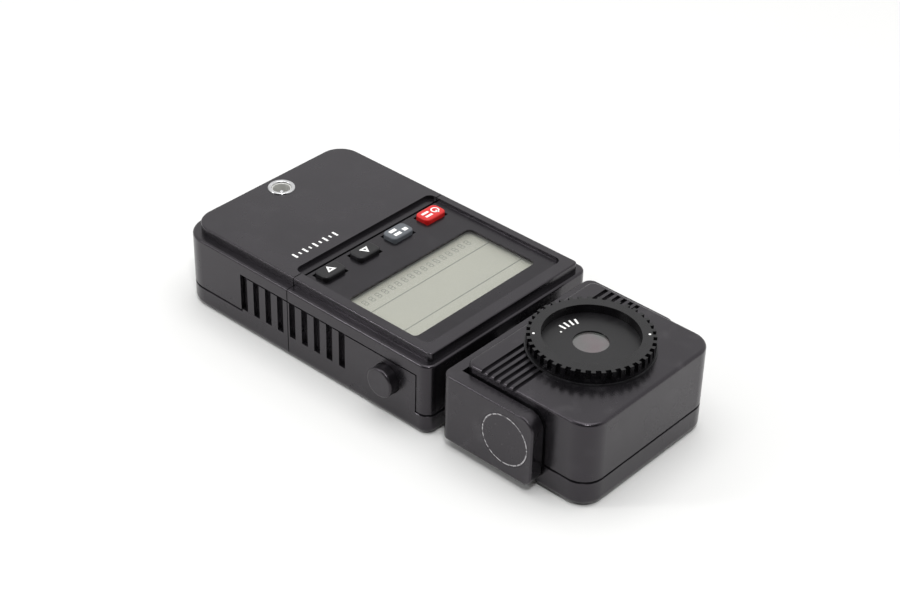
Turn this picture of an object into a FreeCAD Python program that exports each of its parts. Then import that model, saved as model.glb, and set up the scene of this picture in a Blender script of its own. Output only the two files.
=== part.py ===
"""Handheld light meter: a flat meter body with a swivelling light-sensing head.

The meter lies on its back. +Z is up, out of the display; +Y runs from the battery end towards
the head; +X is the side with the measuring button. The origin is the mouth of the tripod
socket, in the middle of the body's rear face. All sizes are in millimetres.
"""
import FreeCAD, Part
import os
import re

Vector = FreeCAD.Vector

# Driving sizes: alias, value, meaning. Distances "from the battery end" run along +Y.
SIZES = [
    ("body_width", 62.0, "overall width of the meter body"),
    ("body_length", 91.2, "overall length of the meter body"),
    ("rear_depth", 6.0, "height of the seam between rear and front shells"),
    ("shoulder_height", 21.3, "height of the step around the raised front plate"),
    ("plate_height", 23.8, "height of the raised front plate, the body's thickness"),
    ("plate_side_step", 2.5, "how far the raised plate stands in from the sides"),
    ("plate_end_step", 1.6, "how far the raised plate stands in from the ends"),
    ("wall", 1.8, "shell wall"),
    ("ceiling", 20.4, "height of the underside of the front shells"),
    ("far_radius", 8.0, "upright corners at the battery end"),
    ("near_radius", 3.0, "upright corners at the head end"),
    ("far_plate_radius", 6.5, "plate corners at the battery end"),
    ("near_plate_radius", 1.2, "plate corners at the head end"),
    ("edge_radius", 0.7, "rounding of the outer front edges"),
    ("plate_edge", 0.4, "rounding of the plate's top edge"),
    ("rear_edge", 1.8, "rounding of the rear edges"),
    ("seam_groove", 0.35, "bevel on both shells along their seam"),
    ("split_from_end", 41.2, "cross seam between the two front shells, from the battery end"),
    ("split_gap", 0.3, "width of the cross seam"),
    ("floor_seam", 0.4, "width that the cross seam gains on the sunk floor"),
    ("floor_seam_depth", 0.6, "depth of that wider seam"),
    ("line_depth", 0.2, "depth of the line that carries the cross seam down the rear shell"),
    ("recess_from_end", 38.5, "start of the sunk key and display floor"),
    ("recess_to_end", 86.0, "end of the sunk floor"),
    ("recess_left", 26.2, "sunk floor's reach towards -X"),
    ("recess_right", 25.6, "sunk floor's reach towards +X"),
    ("recess_depth", 1.1, "depth of the sunk floor below the plate"),
    ("recess_radius", 2.0, "corners of the sunk floor"),
    ("window_from_end", 57.1, "start of the display opening"),
    ("window_to_end", 80.7, "end of the display opening"),
    ("window_left", 21.9, "display opening's reach towards -X"),
    ("window_right", 24.6, "display opening's reach towards +X"),
    ("window_drop", 0.7, "window face below the sunk floor"),
    ("window_thickness", 1.0, "window pane"),
    ("window_lap", 1.2, "pane's lap under the opening's edges"),
    ("window_radius", 1.5, "corners of the display opening"),
    ("lcd_thickness", 1.6, "display panel"),
    ("frame_rim", 1.1, "display carrier around the display"),
    ("board_drop", 3.3, "main board's face below the ceiling"),
    ("board_thickness", 1.6, "main circuit board"),
    ("board_inset", 8.5, "main board in from the body's sides"),
    ("board_from_end", 34.0, "start of the main board"),
    ("board_to_end", 82.0, "end of the main board"),
    ("key_from_end", 45.4, "line of the four keys"),
    ("key_pitch", 12.8, "spacing of the keys"),
    ("key_width", 7.8, "key along X"),
    ("key_depth", 5.0, "key along Y"),
    ("key_proud", 1.3, "key above the sunk floor"),
    ("key_radius", 1.5, "upright corners of a key"),
    ("key_crown", 0.5, "rounding of a key's top edge"),
    ("key_travel", 0.6, "how far a key goes in"),
    ("key_gap", 0.2, "gap around a key in its hole"),
    ("key_flange", 0.8, "thickness and reach of a key's flange"),
    ("mat_thickness", 0.7, "rubber mat under the keys"),
    ("panel_from_end", 23.7, "start of the raised side panels of the rear shell"),
    ("panel_to_end", 86.8, "end of the raised side panels"),
    ("panel_height", 17.3, "top of the raised side panels"),
    ("panel_gap", 0.4, "gap around the side panels"),
    ("slot_pitch", 4.54, "spacing of the grip slots"),
    ("slot_count", 9, "grip slots on each side"),
    ("slot_width", 2.2, "grip slot along Y"),
    ("slot_low", 6.7, "lower end of a grip slot"),
    ("slot_depth", 1.2, "grip slot into the panel"),
    ("button_from_end", 77.0, "centre of the measuring button"),
    ("button_height", 11.4, "centre height of the measuring button"),
    ("button_radius", 4.2, "measuring button"),
    ("button_proud", 3.0, "button outside the panel"),
    ("button_travel", 1.2, "how far the button goes in"),
    ("button_gap", 0.15, "gap around the button in the panel"),
    ("button_edge", 0.6, "rounding of the button's face"),
    ("button_flange", 1.0, "reach of the button's flange"),
    ("button_flange_thickness", 0.9, "button's flange"),
    ("button_stem", 0.9, "button behind its flange"),
    ("plunger_length", 1.7, "switch plunger"),
    ("plunger_radius", 1.05, "switch plunger"),
    ("switch_length", 5.4, "switch housing along X"),
    ("switch_half_width", 2.1, "half the switch housing's width"),
    ("spring_radius", 2.5, "button spring's coil"),
    ("spring_wire", 0.2, "radius of the button spring's wire"),
    ("spring_turns", 3, "turns of the button spring"),
    ("sync_from_end", 7.0, "centre of the flash cord socket"),
    ("sync_radius", 3.8, "outside of the socket's ring"),
    ("sync_well", 2.7, "inside of the socket's ring"),
    ("sync_proud", 0.4, "socket's ring above the plate"),
    ("sync_length", 8.0, "length of the socket below the plate"),
    ("sync_flange", 1.0, "reach and thickness of the socket's flange"),
    ("sync_plug", 2.5, "thickness of the socket's insulator"),
    ("sync_pin", 0.6, "socket's pin"),
    ("sync_pin_drop", 1.4, "pin's tip below the ring's face"),
    ("cell_from_end", 20.5, "axis of the cell"),
    ("cell_radius", 7.1, "cell"),
    ("cell_length", 49.5, "cell without its nub"),
    ("cell_edge", 0.4, "rounding of the cell's ends"),
    ("cell_lift", 0.5, "gap between the cell and its door"),
    ("nub_radius", 2.6, "cell's nub"),
    ("nub_length", 1.0, "cell's nub"),
    ("contact_thickness", 0.5, "contact leaf"),
    ("contact_half", 5.0, "half a contact leaf's side"),
    ("contact_coil", 1.2, "length of the battery spring's coil"),
    ("contact_wire", 0.3, "radius of the battery spring's wire"),
    ("contact_turns", 2, "turns of the battery spring"),
    ("door_from_end", 11.0, "start of the battery door"),
    ("door_to_end", 30.0, "end of the battery door"),
    ("door_reach", 27.4, "battery door's reach towards +X"),
    ("door_gap", 0.15, "gap around the battery door"),
    ("door_rail", 0.8, "rail that holds the battery door"),
    ("door_lip", 0.9, "shell under a rail"),
    ("door_guide", 1.0, "height of the guides over the rails"),
    ("door_grip_pitch", 1.6, "spacing of the door's grip grooves"),
    ("door_grip_width", 0.8, "width of a grip groove"),
    ("door_grip_depth", 0.5, "depth of a grip groove"),
    ("door_grip_start", 7.0, "first grip groove from the door's side"),
    ("door_grip_inset", 4.0, "grip grooves in from the door's long edges"),
    ("door_grip_count", 5, "grip grooves"),
    ("tripod_radius", 3.175, "tripod socket's hole"),
    ("tripod_depth", 5.5, "tripod socket's hole"),
    ("tripod_bush_radius", 5.0, "outside of the tripod bush"),
    ("tripod_end", 1.0, "closed end of the tripod bush"),
    ("screw_radius", 1.0, "case screw's shank"),
    ("screw_head", 2.0, "case screw's head"),
    ("screw_sink", 1.4, "depth of a screw head's seat in the shell"),
    ("screw_head_height", 1.1, "case screw's head"),
    ("screw_play", 0.1, "gap around a screw in the rear shell"),
    ("screw_reach", 8.0, "case screw's thread in the front boss"),
    ("boss_radius", 2.4, "screw boss"),
    ("screw_far_x", 22.0, "end screws off the centre line"),
    ("screw_far_from_end", 6.5, "end screws"),
    ("boss_gap", 0.2, "gap between a middle screw's boss and the side wall"),
    ("screw_mid_from_end", 46.0, "middle screws"),
    ("screw_near_x", 24.0, "head-end screws off the centre line"),
    ("screw_near_from_end", 86.0, "head-end screws"),
    ("axis_height", 12.8, "height of the swivel axis"),
    ("shaft_radius", 4.2, "swivel shaft"),
    ("shaft_bore", 2.6, "hole through the swivel shaft"),
    ("shaft_play", 0.05, "radial play of the shaft in its collar"),
    ("collar_wall", 1.4, "neck collar"),
    ("collar_proud", 2.1, "collar outside the body"),
    ("collar_flange", 1.0, "reach and thickness of the collar's inner flange"),
    ("washer_thickness", 0.5, "friction washer"),
    ("clip_thickness", 0.8, "shaft clip"),
    ("clip_bite", 0.5, "depth of the clip's groove in the shaft"),
    ("clip_reach", 1.6, "clip outside the shaft"),
    ("shaft_tail", 1.5, "shaft beyond its clip"),
    ("shaft_flange", 1.2, "reach and thickness of the shaft's flange"),
    ("boss_on_bracket", 6.2, "radius of the bracket's neck boss"),
    ("boss_on_bracket_length", 1.8, "bracket's neck boss"),
    ("lead_radius", 1.1, "sensor lead"),
    ("lead_tail", 1.5, "sensor lead beyond the shaft"),
    ("neck_gap", 4.1, "gap between body and head bracket"),
    ("bracket_thickness", 3.2, "head bracket's cross wall"),
    ("bracket_low", 3.0, "lower edge of the bracket"),
    ("bracket_high", 22.7, "upper edge of the bracket"),
    ("arm_right", 30.9, "outer face of the +X arm"),
    ("arm_right_thickness", 4.0, "thickness of the +X arm"),
    ("arm_left", 26.2, "outer face of the -X arm"),
    ("arm_left_thickness", 2.7, "thickness of the -X arm"),
    ("arm_reach", 29.3, "length of the arms with the cross wall"),
    ("arm_radius", 4.0, "rounding of the arms' upper ends"),
    ("arm_low_radius", 2.5, "rounding of the arms' lower ends"),
    ("bracket_radius", 2.5, "upright outer corners of the bracket"),
    ("bracket_edge", 0.5, "rounding of the bracket's outer edges"),
    ("cap_radius", 7.4, "round cap on each arm"),
    ("cap_thickness", 0.8, "round cap"),
    ("cap_from_neck", 20.7, "centre of the caps from the bracket's neck side"),
    ("cap_height", 13.2, "centre height of the caps"),
    ("arm_screw_radius", 1.2, "arm screw's shank"),
    ("arm_screw_head", 2.4, "arm screw's head"),
    ("arm_screw_sink", 1.0, "arm screw's head"),
    ("arm_pad", 3.2, "pad between an arm and the head"),
    ("head_play", 0.6, "gap between an arm and the head"),
    ("head_gap", 0.4, "gap between the cross wall and the head"),
    ("head_length", 39.3, "head along Y"),
    ("head_low", 0.3, "head's rear face"),
    ("head_thickness", 25.0, "head's thickness"),
    ("head_seam", 7.6, "height of the head's seam"),
    ("head_radius", 6.0, "head's upright corners at the free end"),
    ("head_neck_radius", 2.5, "head's upright corners at the neck"),
    ("head_wall", 1.6, "head's shell wall"),
    ("head_rear_edge", 1.8, "rounding of the head's rear edges"),
    ("head_edge", 0.9, "rounding of the head's top edges"),
    ("rib_count", 6, "grooves on the head's top"),
    ("rib_pitch", 2.03, "spacing of those grooves"),
    ("rib_width", 1.15, "width of those grooves"),
    ("rib_depth", 0.8, "depth of those grooves"),
    ("rib_start", 5.05, "first groove from the head's neck side"),
    ("rib_margin", 1.1, "grooves' end from the head's -X side"),
    ("head_screw_inset", 5.0, "head screws in from the head's sides"),
    ("head_boss", 2.0, "head screw boss"),
    ("head_screw_radius", 0.8, "head screw's shank"),
    ("head_screw_head", 1.6, "head screw's head"),
    ("sensor_drop", 8.3, "sensor board's face below the head's top"),
    ("sensor_board_thickness", 1.2, "sensor board"),
    ("sensor_half_x", 11.5, "half the sensor board along X"),
    ("sensor_half_y", 9.0, "half the sensor board along Y"),
    ("sensor_post", 1.3, "post that holds the sensor board"),
    ("sensor_post_inset", 2.0, "posts in from the sensor board's corners"),
    ("cell_holder_wall", 1.2, "holder around the photocell"),
    ("cell_holder_height", 3.0, "holder around the photocell"),
    ("photocell_radius", 4.5, "photocell"),
    ("photocell_thickness", 2.0, "photocell"),
    ("filter_thickness", 1.0, "filter glass"),
    ("receptor_from_neck", 17.9, "centre of the receptor from the head's neck side"),
    ("seat_radius", 16.5, "ring seat on the head"),
    ("seat_thickness", 0.4, "ring seat"),
    ("ring_radius", 16.1, "knurled ring"),
    ("ring_opening", 12.5, "opening of the knurled ring"),
    ("ring_height", 3.2, "knurled ring"),
    ("ring_play", 0.1, "gap under the knurled ring"),
    ("ring_foot", 0.6, "plain foot of the knurled ring"),
    ("notch_count", 40, "notches around the ring"),
    ("notch_depth", 1.0, "depth of a notch"),
    ("notch_width", 1.35, "width of a notch"),
    ("disc_thickness", 0.5, "sunk disc in the ring"),
    ("lens_opening", 4.6, "radius of the light opening"),
    ("ring_ledge", 2.0, "inner ledge of the ring, under the disc"),
    ("ledge_thickness", 0.3, "inner ledge of the ring"),
    ("lens_wall", 0.8, "wall of the lens barrel"),
    ("lens_lip", 0.4, "lens beyond the light opening"),
    ("lens_thickness", 1.6, "lens"),
    ("barrel_length", 3.6, "lens barrel below the disc"),
    ("barrel_play", 0.3, "gap around the lens barrel"),
    ("barrel_ledge", 0.8, "ledge under the lens in its barrel"),
    ("fit_gap", 0.05, "gap between pieces that are fitted together"),
]
ALIASES = [name for name, _, _ in SIZES]
NEAR = 1e-3          # two places closer than this are the same
RUNS = {"x": Vector(1, 0, 0), "y": Vector(0, 1, 0), "z": Vector(0, 0, 1)}

doc = FreeCAD.newDocument("light_meter")
sheet = doc.addObject("Spreadsheet::Sheet", "dims")
for row, (name, value, meaning) in enumerate(SIZES, start=1):
    sheet.set("A%d" % row, name)
    sheet.set("B%d" % row, str(value))
    sheet.setAlias("B%d" % row, name)
    sheet.set("C%d" % row, meaning)
doc.recompute()

SIZE = {name: float(sheet.get(name)) for name in ALIASES}
ALIAS_PATTERN = re.compile(r"\b(" + "|".join(sorted(ALIASES, key=len, reverse=True)) + r")\b")
sub_parts = []

# Places that many pieces share, as expressions of the sheet's sizes.
FAR = "(-body_length / 2)"
NEAR_END = "(body_length / 2)"
HALF = "(body_width / 2)"
FLOOR = "(plate_height - recess_depth)"
PANE_TOP = "(plate_height - recess_depth - window_drop)"
PANE_LOW = "(plate_height - recess_depth - window_drop - window_thickness)"
FRAME_TOP = "(plate_height - recess_depth - window_drop - window_thickness - lcd_thickness)"
BOARD_TOP = "(ceiling - board_drop)"
BOARD_HALF = "(body_width / 2 - board_inset)"
BRACKET_Y = "(body_length / 2 + neck_gap)"
HEAD_Y = "(body_length / 2 + neck_gap + bracket_thickness + head_gap)"
HEAD_RIGHT = "(arm_right - arm_right_thickness - head_play)"
HEAD_LEFT = "(-arm_left + arm_left_thickness + head_play)"
HEAD_TOP = "(head_low + head_thickness)"
CONTACT_LOW = "(cell_length / 2 + nub_length + fit_gap)"
COIL_LOW = "(-cell_length / 2 - fit_gap - contact_coil)"
RECEPTOR_Y = "(body_length / 2 + neck_gap + bracket_thickness + head_gap + receptor_from_neck)"
RING_LOW = "(head_low + head_thickness + seat_thickness + ring_play)"
DISC_LOW = "(head_low + head_thickness + seat_thickness + ring_play + ledge_thickness)"


def bound(text):
    """An expression of sizes, in the form that setExpression reads."""
    return ALIAS_PATTERN.sub(r"dims.\1", str(text))


def place(feature, at, turn=None):
    """Bind a feature's position to expressions; turn is a fixed FreeCAD.Rotation."""
    if turn:
        feature.Placement = FreeCAD.Placement(Vector(), turn)
    for axis, value in zip("xyz", at):
        feature.setExpression("Placement.Base." + axis, bound(value))


def turned(axis):
    """The rotation that lays a +Z cylinder along another axis."""
    return FreeCAD.Rotation(Vector(0, 0, 1), RUNS[axis])


def start(label):
    """A new sub-part as a body."""
    body = doc.addObject("PartDesign::Body", label)
    body.Label = label
    sub_parts.append(body)
    return body


def block(body, name, x, y, z, cut=False):
    """Add or cut a box given by its low and high expressions on each axis."""
    kind = "Subtractive" if cut else "Additive"
    feature = body.newObject("PartDesign::%sBox" % kind, name)
    for side, (low, high) in zip(("Length", "Width", "Height"), (x, y, z)):
        feature.setExpression(side, bound("(%s) - (%s)" % (high, low)))
    place(feature, (x[0], y[0], z[0]))
    doc.recompute()
    return feature


def rod(body, name, radius, at, length, axis="z", cut=False):
    """Add or cut a cylinder that starts at a point and runs along +axis."""
    kind = "Subtractive" if cut else "Additive"
    feature = body.newObject("PartDesign::%sCylinder" % kind, name)
    feature.setExpression("Radius", bound(radius))
    feature.setExpression("Height", bound(length))
    place(feature, at, turned(axis))
    doc.recompute()
    return feature


def pick(feature, along="", **at):
    """Names of a feature's edges that run along an axis and lie at the given coordinates."""
    names = []
    for index, edge in enumerate(feature.Shape.Edges, start=1):
        box = edge.BoundBox
        spans = {"x": (box.XMin, box.XMax), "y": (box.YMin, box.YMax), "z": (box.ZMin, box.ZMax)}
        runs = all(spans[axis][1] - spans[axis][0] < NEAR for axis in "xyz" if axis != along)
        lies = all(
            any(abs(low - value) < NEAR and abs(high - value) < NEAR for value in values)
            for (low, high), values in ((spans[axis], values) for axis, values in at.items())
        )
        if lies and (runs or not along):
            names.append("Edge%d" % index)
    return names


def rounded(body, name, edges, radius):
    """Round the named edges of the body's last feature."""
    feature = body.newObject("PartDesign::Fillet", name)
    feature.Base = (feature.BaseFeature, edges)
    feature.setExpression("Radius", bound(radius))
    doc.recompute()
    return feature


def bevelled(body, name, edges, size):
    """Bevel the named edges of the body's last feature."""
    feature = body.newObject("PartDesign::Chamfer", name)
    feature.Base = (feature.BaseFeature, edges)
    feature.setExpression("Size", bound(size))
    doc.recompute()
    return feature


def row_of(body, feature, axis, count, pitch):
    """Repeat a feature along one of the body's axes."""
    pattern = body.newObject("PartDesign::LinearPattern", feature.Name + "_row")
    pattern.Originals = [feature]
    line = next(part for part in body.Origin.OriginFeatures if part.Role == axis + "_Axis")
    pattern.Direction = (line, [""])
    pattern.setExpression("Length", bound("(%s - 1) * %s" % (count, pitch)))
    pattern.setExpression("Occurrences", bound(count))
    body.Tip = pattern
    doc.recompute()
    return pattern


def round_of(body, feature, count):
    """Repeat a feature around the body's own Z axis."""
    pattern = body.newObject("PartDesign::PolarPattern", feature.Name + "_round")
    pattern.Originals = [feature]
    line = next(part for part in body.Origin.OriginFeatures if part.Role == "Z_Axis")
    pattern.Axis = (line, [""])
    pattern.Angle = 360
    pattern.setExpression("Occurrences", bound(count))
    body.Tip = pattern
    doc.recompute()
    return pattern


def solid_rod(name, radius, at, length, axis="z"):
    """A free cylinder, for groups of separate solids."""
    feature = doc.addObject("Part::Cylinder", name)
    feature.setExpression("Radius", bound(radius))
    feature.setExpression("Height", bound(length))
    place(feature, at, turned(axis))
    return feature


def joined(kind, name, pieces):
    """A fused solid, a cut or a group of free shapes."""
    feature = doc.addObject(kind, name)
    if kind == "Part::Compound":
        feature.Links = pieces
    elif kind == "Part::Cut":
        feature.Base, feature.Tool = pieces
    else:
        feature.Shapes = pieces
    doc.recompute()
    return feature


# Screw places: off the centre line, and along Y.
CASE_SCREWS = [
    ("screw_far_x", FAR + " + screw_far_from_end"),
    ("(body_width / 2 - wall - boss_radius - boss_gap)", FAR + " + screw_mid_from_end"),
    ("screw_near_x", FAR + " + screw_near_from_end"),
]
HEAD_SCREWS = [
    (x, y)
    for x in (HEAD_LEFT + " + head_screw_inset", HEAD_RIGHT + " - head_screw_inset")
    for y in (HEAD_Y + " + head_screw_inset", HEAD_Y + " + head_length - head_screw_inset")
]


# --- Front shells -----------------------------------------------------------------------------

def front_form(body):
    """The outside and the hollow that both front shells share: skirt, shoulder, raised plate."""
    half = SIZE["body_width"] / 2
    plate_end = SIZE["body_length"] / 2 - SIZE["plate_end_step"]
    side = "(body_width / 2 - plate_side_step)"
    block(
        body, "plate", ("-" + side, side),
        (FAR + " + plate_end_step", NEAR_END + " - plate_end_step"), ("rear_depth", "plate_height"),
    )
    rounded(body, "far_plate_corners", pick(body.Tip, "z", y=[-plate_end]), "far_plate_radius")
    rounded(body, "near_plate_corners", pick(body.Tip, "z", y=[plate_end]), "near_plate_radius")
    rounded(body, "plate_rim", pick(body.Tip, z=[SIZE["plate_height"]]), "plate_edge")
    block(body, "skirt", ("-" + HALF, HALF), (FAR, NEAR_END), ("rear_depth", "shoulder_height"))
    shell_hollow(body, ("rear_depth - 1", "ceiling"))
    plate_half = half - SIZE["plate_side_step"]
    shoulder = [
        name for name in pick(body.Tip, z=[SIZE["shoulder_height"]])
        if is_outside(body.Tip, name, plate_half, plate_end)
    ]
    rounded(body, "shoulder_rim", shoulder, "edge_radius")
    seam_bevel(body)


def shell_hollow(body, z):
    """Hollow out a shell, then round its corners inside and outside."""
    inner = "(body_width / 2 - wall)"
    end = SIZE["body_length"] / 2
    hollow_end = end - SIZE["wall"]
    block(body, "hollow", ("-" + inner, inner), (FAR + " + wall", NEAR_END + " - wall"), z, cut=True)
    rounded(body, "far_hollow", pick(body.Tip, "z", y=[-hollow_end]), "far_radius - wall")
    rounded(body, "near_hollow", pick(body.Tip, "z", y=[hollow_end]), "near_radius - wall")
    rounded(body, "far_corners", pick(body.Tip, "z", y=[-end]), "far_radius")
    rounded(body, "near_corners", pick(body.Tip, "z", y=[end]), "near_radius")


def seam_bevel(body):
    """Bevel the outer edge of a shell along the front and rear shells' seam."""
    hollow_half = SIZE["body_width"] / 2 - SIZE["wall"]
    hollow_end = SIZE["body_length"] / 2 - SIZE["wall"]
    outer = [
        name for name in pick(body.Tip, z=[SIZE["rear_depth"]])
        if is_outside(body.Tip, name, hollow_half, hollow_end)
    ]
    bevelled(body, "seam_bevel", outer, "seam_groove")


def is_outside(feature, edge_name, half_x, half_y):
    """Whether an edge lies wholly outside a rectangle centred on the origin."""
    box = feature.Shape.getElement(edge_name).BoundBox
    beyond_x = max(abs(box.XMin), abs(box.XMax)) > half_x + NEAR
    beyond_y = max(abs(box.YMin), abs(box.YMax)) > half_y + NEAR
    return beyond_x or beyond_y


def sunk_floor(body, y):
    """The recess for keys and display, over a stretch of Y."""
    block(
        body, "recess", ("-recess_left", "recess_right"), y, (FLOOR, "plate_height + 1"), cut=True,
    )


def panel_cutouts(body):
    """Openings in the side walls for the rear shell's raised panels."""
    for name, low, high in (
        ("right", HALF + " - wall - 1", HALF + " + 1"),
        ("left", "-" + HALF + " - 1", "-" + HALF + " + wall + 1"),
    ):
        block(
            body, name + "_cutout", (low, high),
            (FAR + " + panel_from_end - panel_gap", FAR + " + panel_to_end + panel_gap"),
            ("rear_depth - 1", "panel_height + panel_gap"), cut=True,
        )


def case_bosses(body, places, low, high):
    """Screw bosses on both sides of the centre line."""
    for index, (x, y) in enumerate(places):
        for sign in ("", "-"):
            name = "boss_%d_%s" % (index, "left" if sign else "right")
            rod(body, name, "boss_radius", (sign + x, y, low), "(%s) - (%s)" % (high, low))


def case_holes(body, places, low, high, radius):
    """Screw holes on both sides of the centre line."""
    for index, (x, y) in enumerate(places):
        for sign in ("", "-"):
            name = "hole_%d_%s" % (index, "left" if sign else "right")
            rod(body, name, radius, (sign + x, y, low), "(%s) - (%s)" % (high, low), cut=True)


def make_front_cover():
    body = start("front_cover")
    front_form(body)
    split = FAR + " + split_from_end + split_gap / 2"
    block(
        body, "other_shell", ("-body_width", "body_width"), (FAR + " - 1", split),
        ("-1", "plate_height + 1"), cut=True,
    )
    panel_cutouts(body)
    sunk_floor(body, (split + " - 1", FAR + " + recess_to_end"))
    recess_end = SIZE["recess_to_end"] - SIZE["body_length"] / 2
    rounded(body, "recess_corners", pick(body.Tip, "z", y=[recess_end]), "recess_radius")
    block(
        body, "wider_seam", ("-recess_left", "recess_right"), (split + " - 1", split + " + floor_seam"),
        (FLOOR + " - floor_seam_depth", FLOOR + " + 1"), cut=True,
    )
    block(
        body, "display_opening", ("-window_left", "window_right"),
        (FAR + " + window_from_end", FAR + " + window_to_end"),
        ("ceiling - 1", FLOOR + " + 1"), cut=True,
    )
    opening = [value - SIZE["body_length"] / 2 for value in (SIZE["window_from_end"], SIZE["window_to_end"])]
    rounded(body, "opening_corners", pick(body.Tip, "z", y=opening), "window_radius")
    block(
        body, "pane_seat", ("-window_left - window_lap", "window_right + window_lap"),
        (FAR + " + window_from_end - window_lap", FAR + " + window_to_end + window_lap"),
        ("ceiling - 1", PANE_TOP), cut=True,
    )
    hole = block(
        body, "key_hole",
        ("-1.5 * key_pitch - key_width / 2 - key_gap", "-1.5 * key_pitch + key_width / 2 + key_gap"),
        (
            FAR + " + key_from_end - key_depth / 2 - key_gap",
            FAR + " + key_from_end + key_depth / 2 + key_gap",
        ),
        ("ceiling - 1", FLOOR + " + 1"), cut=True,
    )
    row_of(body, hole, "X", "4", "key_pitch")
    rod(
        body, "collar_hole", "shaft_radius + shaft_play + collar_wall",
        ("0", NEAR_END + " - wall - 1", "axis_height"), "wall + 2", "y", cut=True,
    )
    case_bosses(body, CASE_SCREWS[1:], "rear_depth", "ceiling")
    case_holes(body, CASE_SCREWS[1:], "rear_depth", "ceiling - wall", "screw_radius")


def make_lower_front_cover():
    body = start("lower_front_cover")
    front_form(body)
    split = FAR + " + split_from_end - split_gap / 2"
    block(
        body, "other_shell", ("-body_width", "body_width"), (split, NEAR_END + " + 1"),
        ("-1", "plate_height + 1"), cut=True,
    )
    panel_cutouts(body)
    sunk_floor(body, (FAR + " + recess_from_end", split + " + 1"))
    recess_start = SIZE["recess_from_end"] - SIZE["body_length"] / 2
    rounded(body, "recess_corners", pick(body.Tip, "z", y=[recess_start]), "recess_radius")
    rod(
        body, "sync_hole", "sync_radius", ("0", FAR + " + sync_from_end", "ceiling - 1"),
        "plate_height - ceiling + 2", cut=True,
    )
    for name, low, high in (
        ("right_rib", CONTACT_LOW + " + contact_thickness + fit_gap", HALF + " - wall"),
        ("left_rib", "-" + HALF + " + wall", COIL_LOW + " - contact_thickness - fit_gap"),
    ):
        block(
            body, name, (low, high),
            (FAR + " + cell_from_end - contact_half", FAR + " + cell_from_end - contact_half + wall"),
            ("rear_depth + wall", "ceiling"),
        )
    case_bosses(body, CASE_SCREWS[:1], "rear_depth", "ceiling")
    case_holes(body, CASE_SCREWS[:1], "rear_depth", "ceiling - wall", "screw_radius")


# --- Rear shell and battery bay ---------------------------------------------------------------

def make_rear_cover():
    body = start("rear_cover")
    inner = "(body_width / 2 - wall)"
    block(body, "tray", ("-" + HALF, HALF), (FAR, NEAR_END), ("0", "rear_depth"))
    shell_hollow(body, ("wall", "rear_depth + 1"))
    rounded(body, "rear_rim", pick(body.Tip, z=[0]), "rear_edge")
    seam_bevel(body)
    for name, low, high, cut_low, cut_high in (
        ("right", inner, HALF, HALF + " - slot_depth", HALF + " + 1"),
        ("left", "-" + HALF, "-" + inner, "-" + HALF + " - 1", "-" + HALF + " + slot_depth"),
    ):
        block(
            body, name + "_panel", (low, high), (FAR + " + panel_from_end", FAR + " + panel_to_end"),
            ("rear_edge", "panel_height"),
        )
        slot = block(
            body, name + "_slot", (cut_low, cut_high),
            (FAR + " + panel_from_end", FAR + " + panel_from_end + slot_width"),
            ("slot_low", "panel_height"), cut=True,
        )
        row_of(body, slot, "Y", "slot_count", "slot_pitch")
    for name, low, high in (
        ("right_line", HALF + " - line_depth", HALF + " + 1"),
        ("left_line", "-" + HALF + " - 1", "-" + HALF + " + line_depth"),
    ):
        block(
            body, name, (low, high),
            (FAR + " + split_from_end - split_gap / 2", FAR + " + split_from_end + split_gap / 2"),
            ("-1", "panel_height + 1"), cut=True,
        )
    rod(
        body, "button_hole", "button_radius + button_gap",
        (HALF + " - wall - 1", FAR + " + button_from_end", "button_height"), "wall + 2", "x", cut=True,
    )
    battery_opening(body)
    case_bosses(body, CASE_SCREWS, "wall", "rear_depth")
    case_holes(body, CASE_SCREWS, "-1", "rear_depth + 1", "screw_radius + screw_play")
    for index, (x, y) in enumerate(CASE_SCREWS):
        for sign in ("", "-"):
            name = "sink_%d_%s" % (index, "left" if sign else "right")
            rod(body, name, "screw_head + screw_play", (sign + x, y, "-1"), "screw_sink + 1", cut=True)
    rod(body, "tripod_boss", "tripod_bush_radius + wall", ("0", "0", "wall"), "tripod_depth - wall")
    rod(body, "tripod_hole", "tripod_bush_radius", ("0", "0", "-1"), "tripod_depth + 2", cut=True)


def battery_opening(body):
    """The door's opening from the -X side, with a lip under and a guide over each of its rails."""
    near = (FAR + " + door_to_end + door_gap", FAR + " + door_to_end + door_gap + 2 * door_rail")
    far = (FAR + " + door_from_end - door_gap - 2 * door_rail", FAR + " + door_from_end - door_gap")
    for name, y in (("near_guide", near), ("far_guide", far)):
        block(body, name, ("-" + HALF + " + wall", "door_reach + door_gap"), y, ("0", "wall + door_guide"))
    block(
        body, "door_opening", ("-" + HALF + " - 1", "door_reach + door_gap"), (far[1], near[0]),
        ("-1", "wall + door_guide + 1"), cut=True,
    )
    block(
        body, "door_side_opening", ("-" + HALF + " - 1", "-" + HALF + " + wall + 1"),
        (far[1], near[0]), ("-1", "rear_depth"), cut=True,
    )
    block(
        body, "rail_space", ("-" + HALF + " - 1", "door_reach + door_gap"),
        (far[1] + " - door_rail - door_gap", near[0] + " + door_rail + door_gap"),
        ("door_lip", "wall + door_gap"), cut=True,
    )


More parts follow.
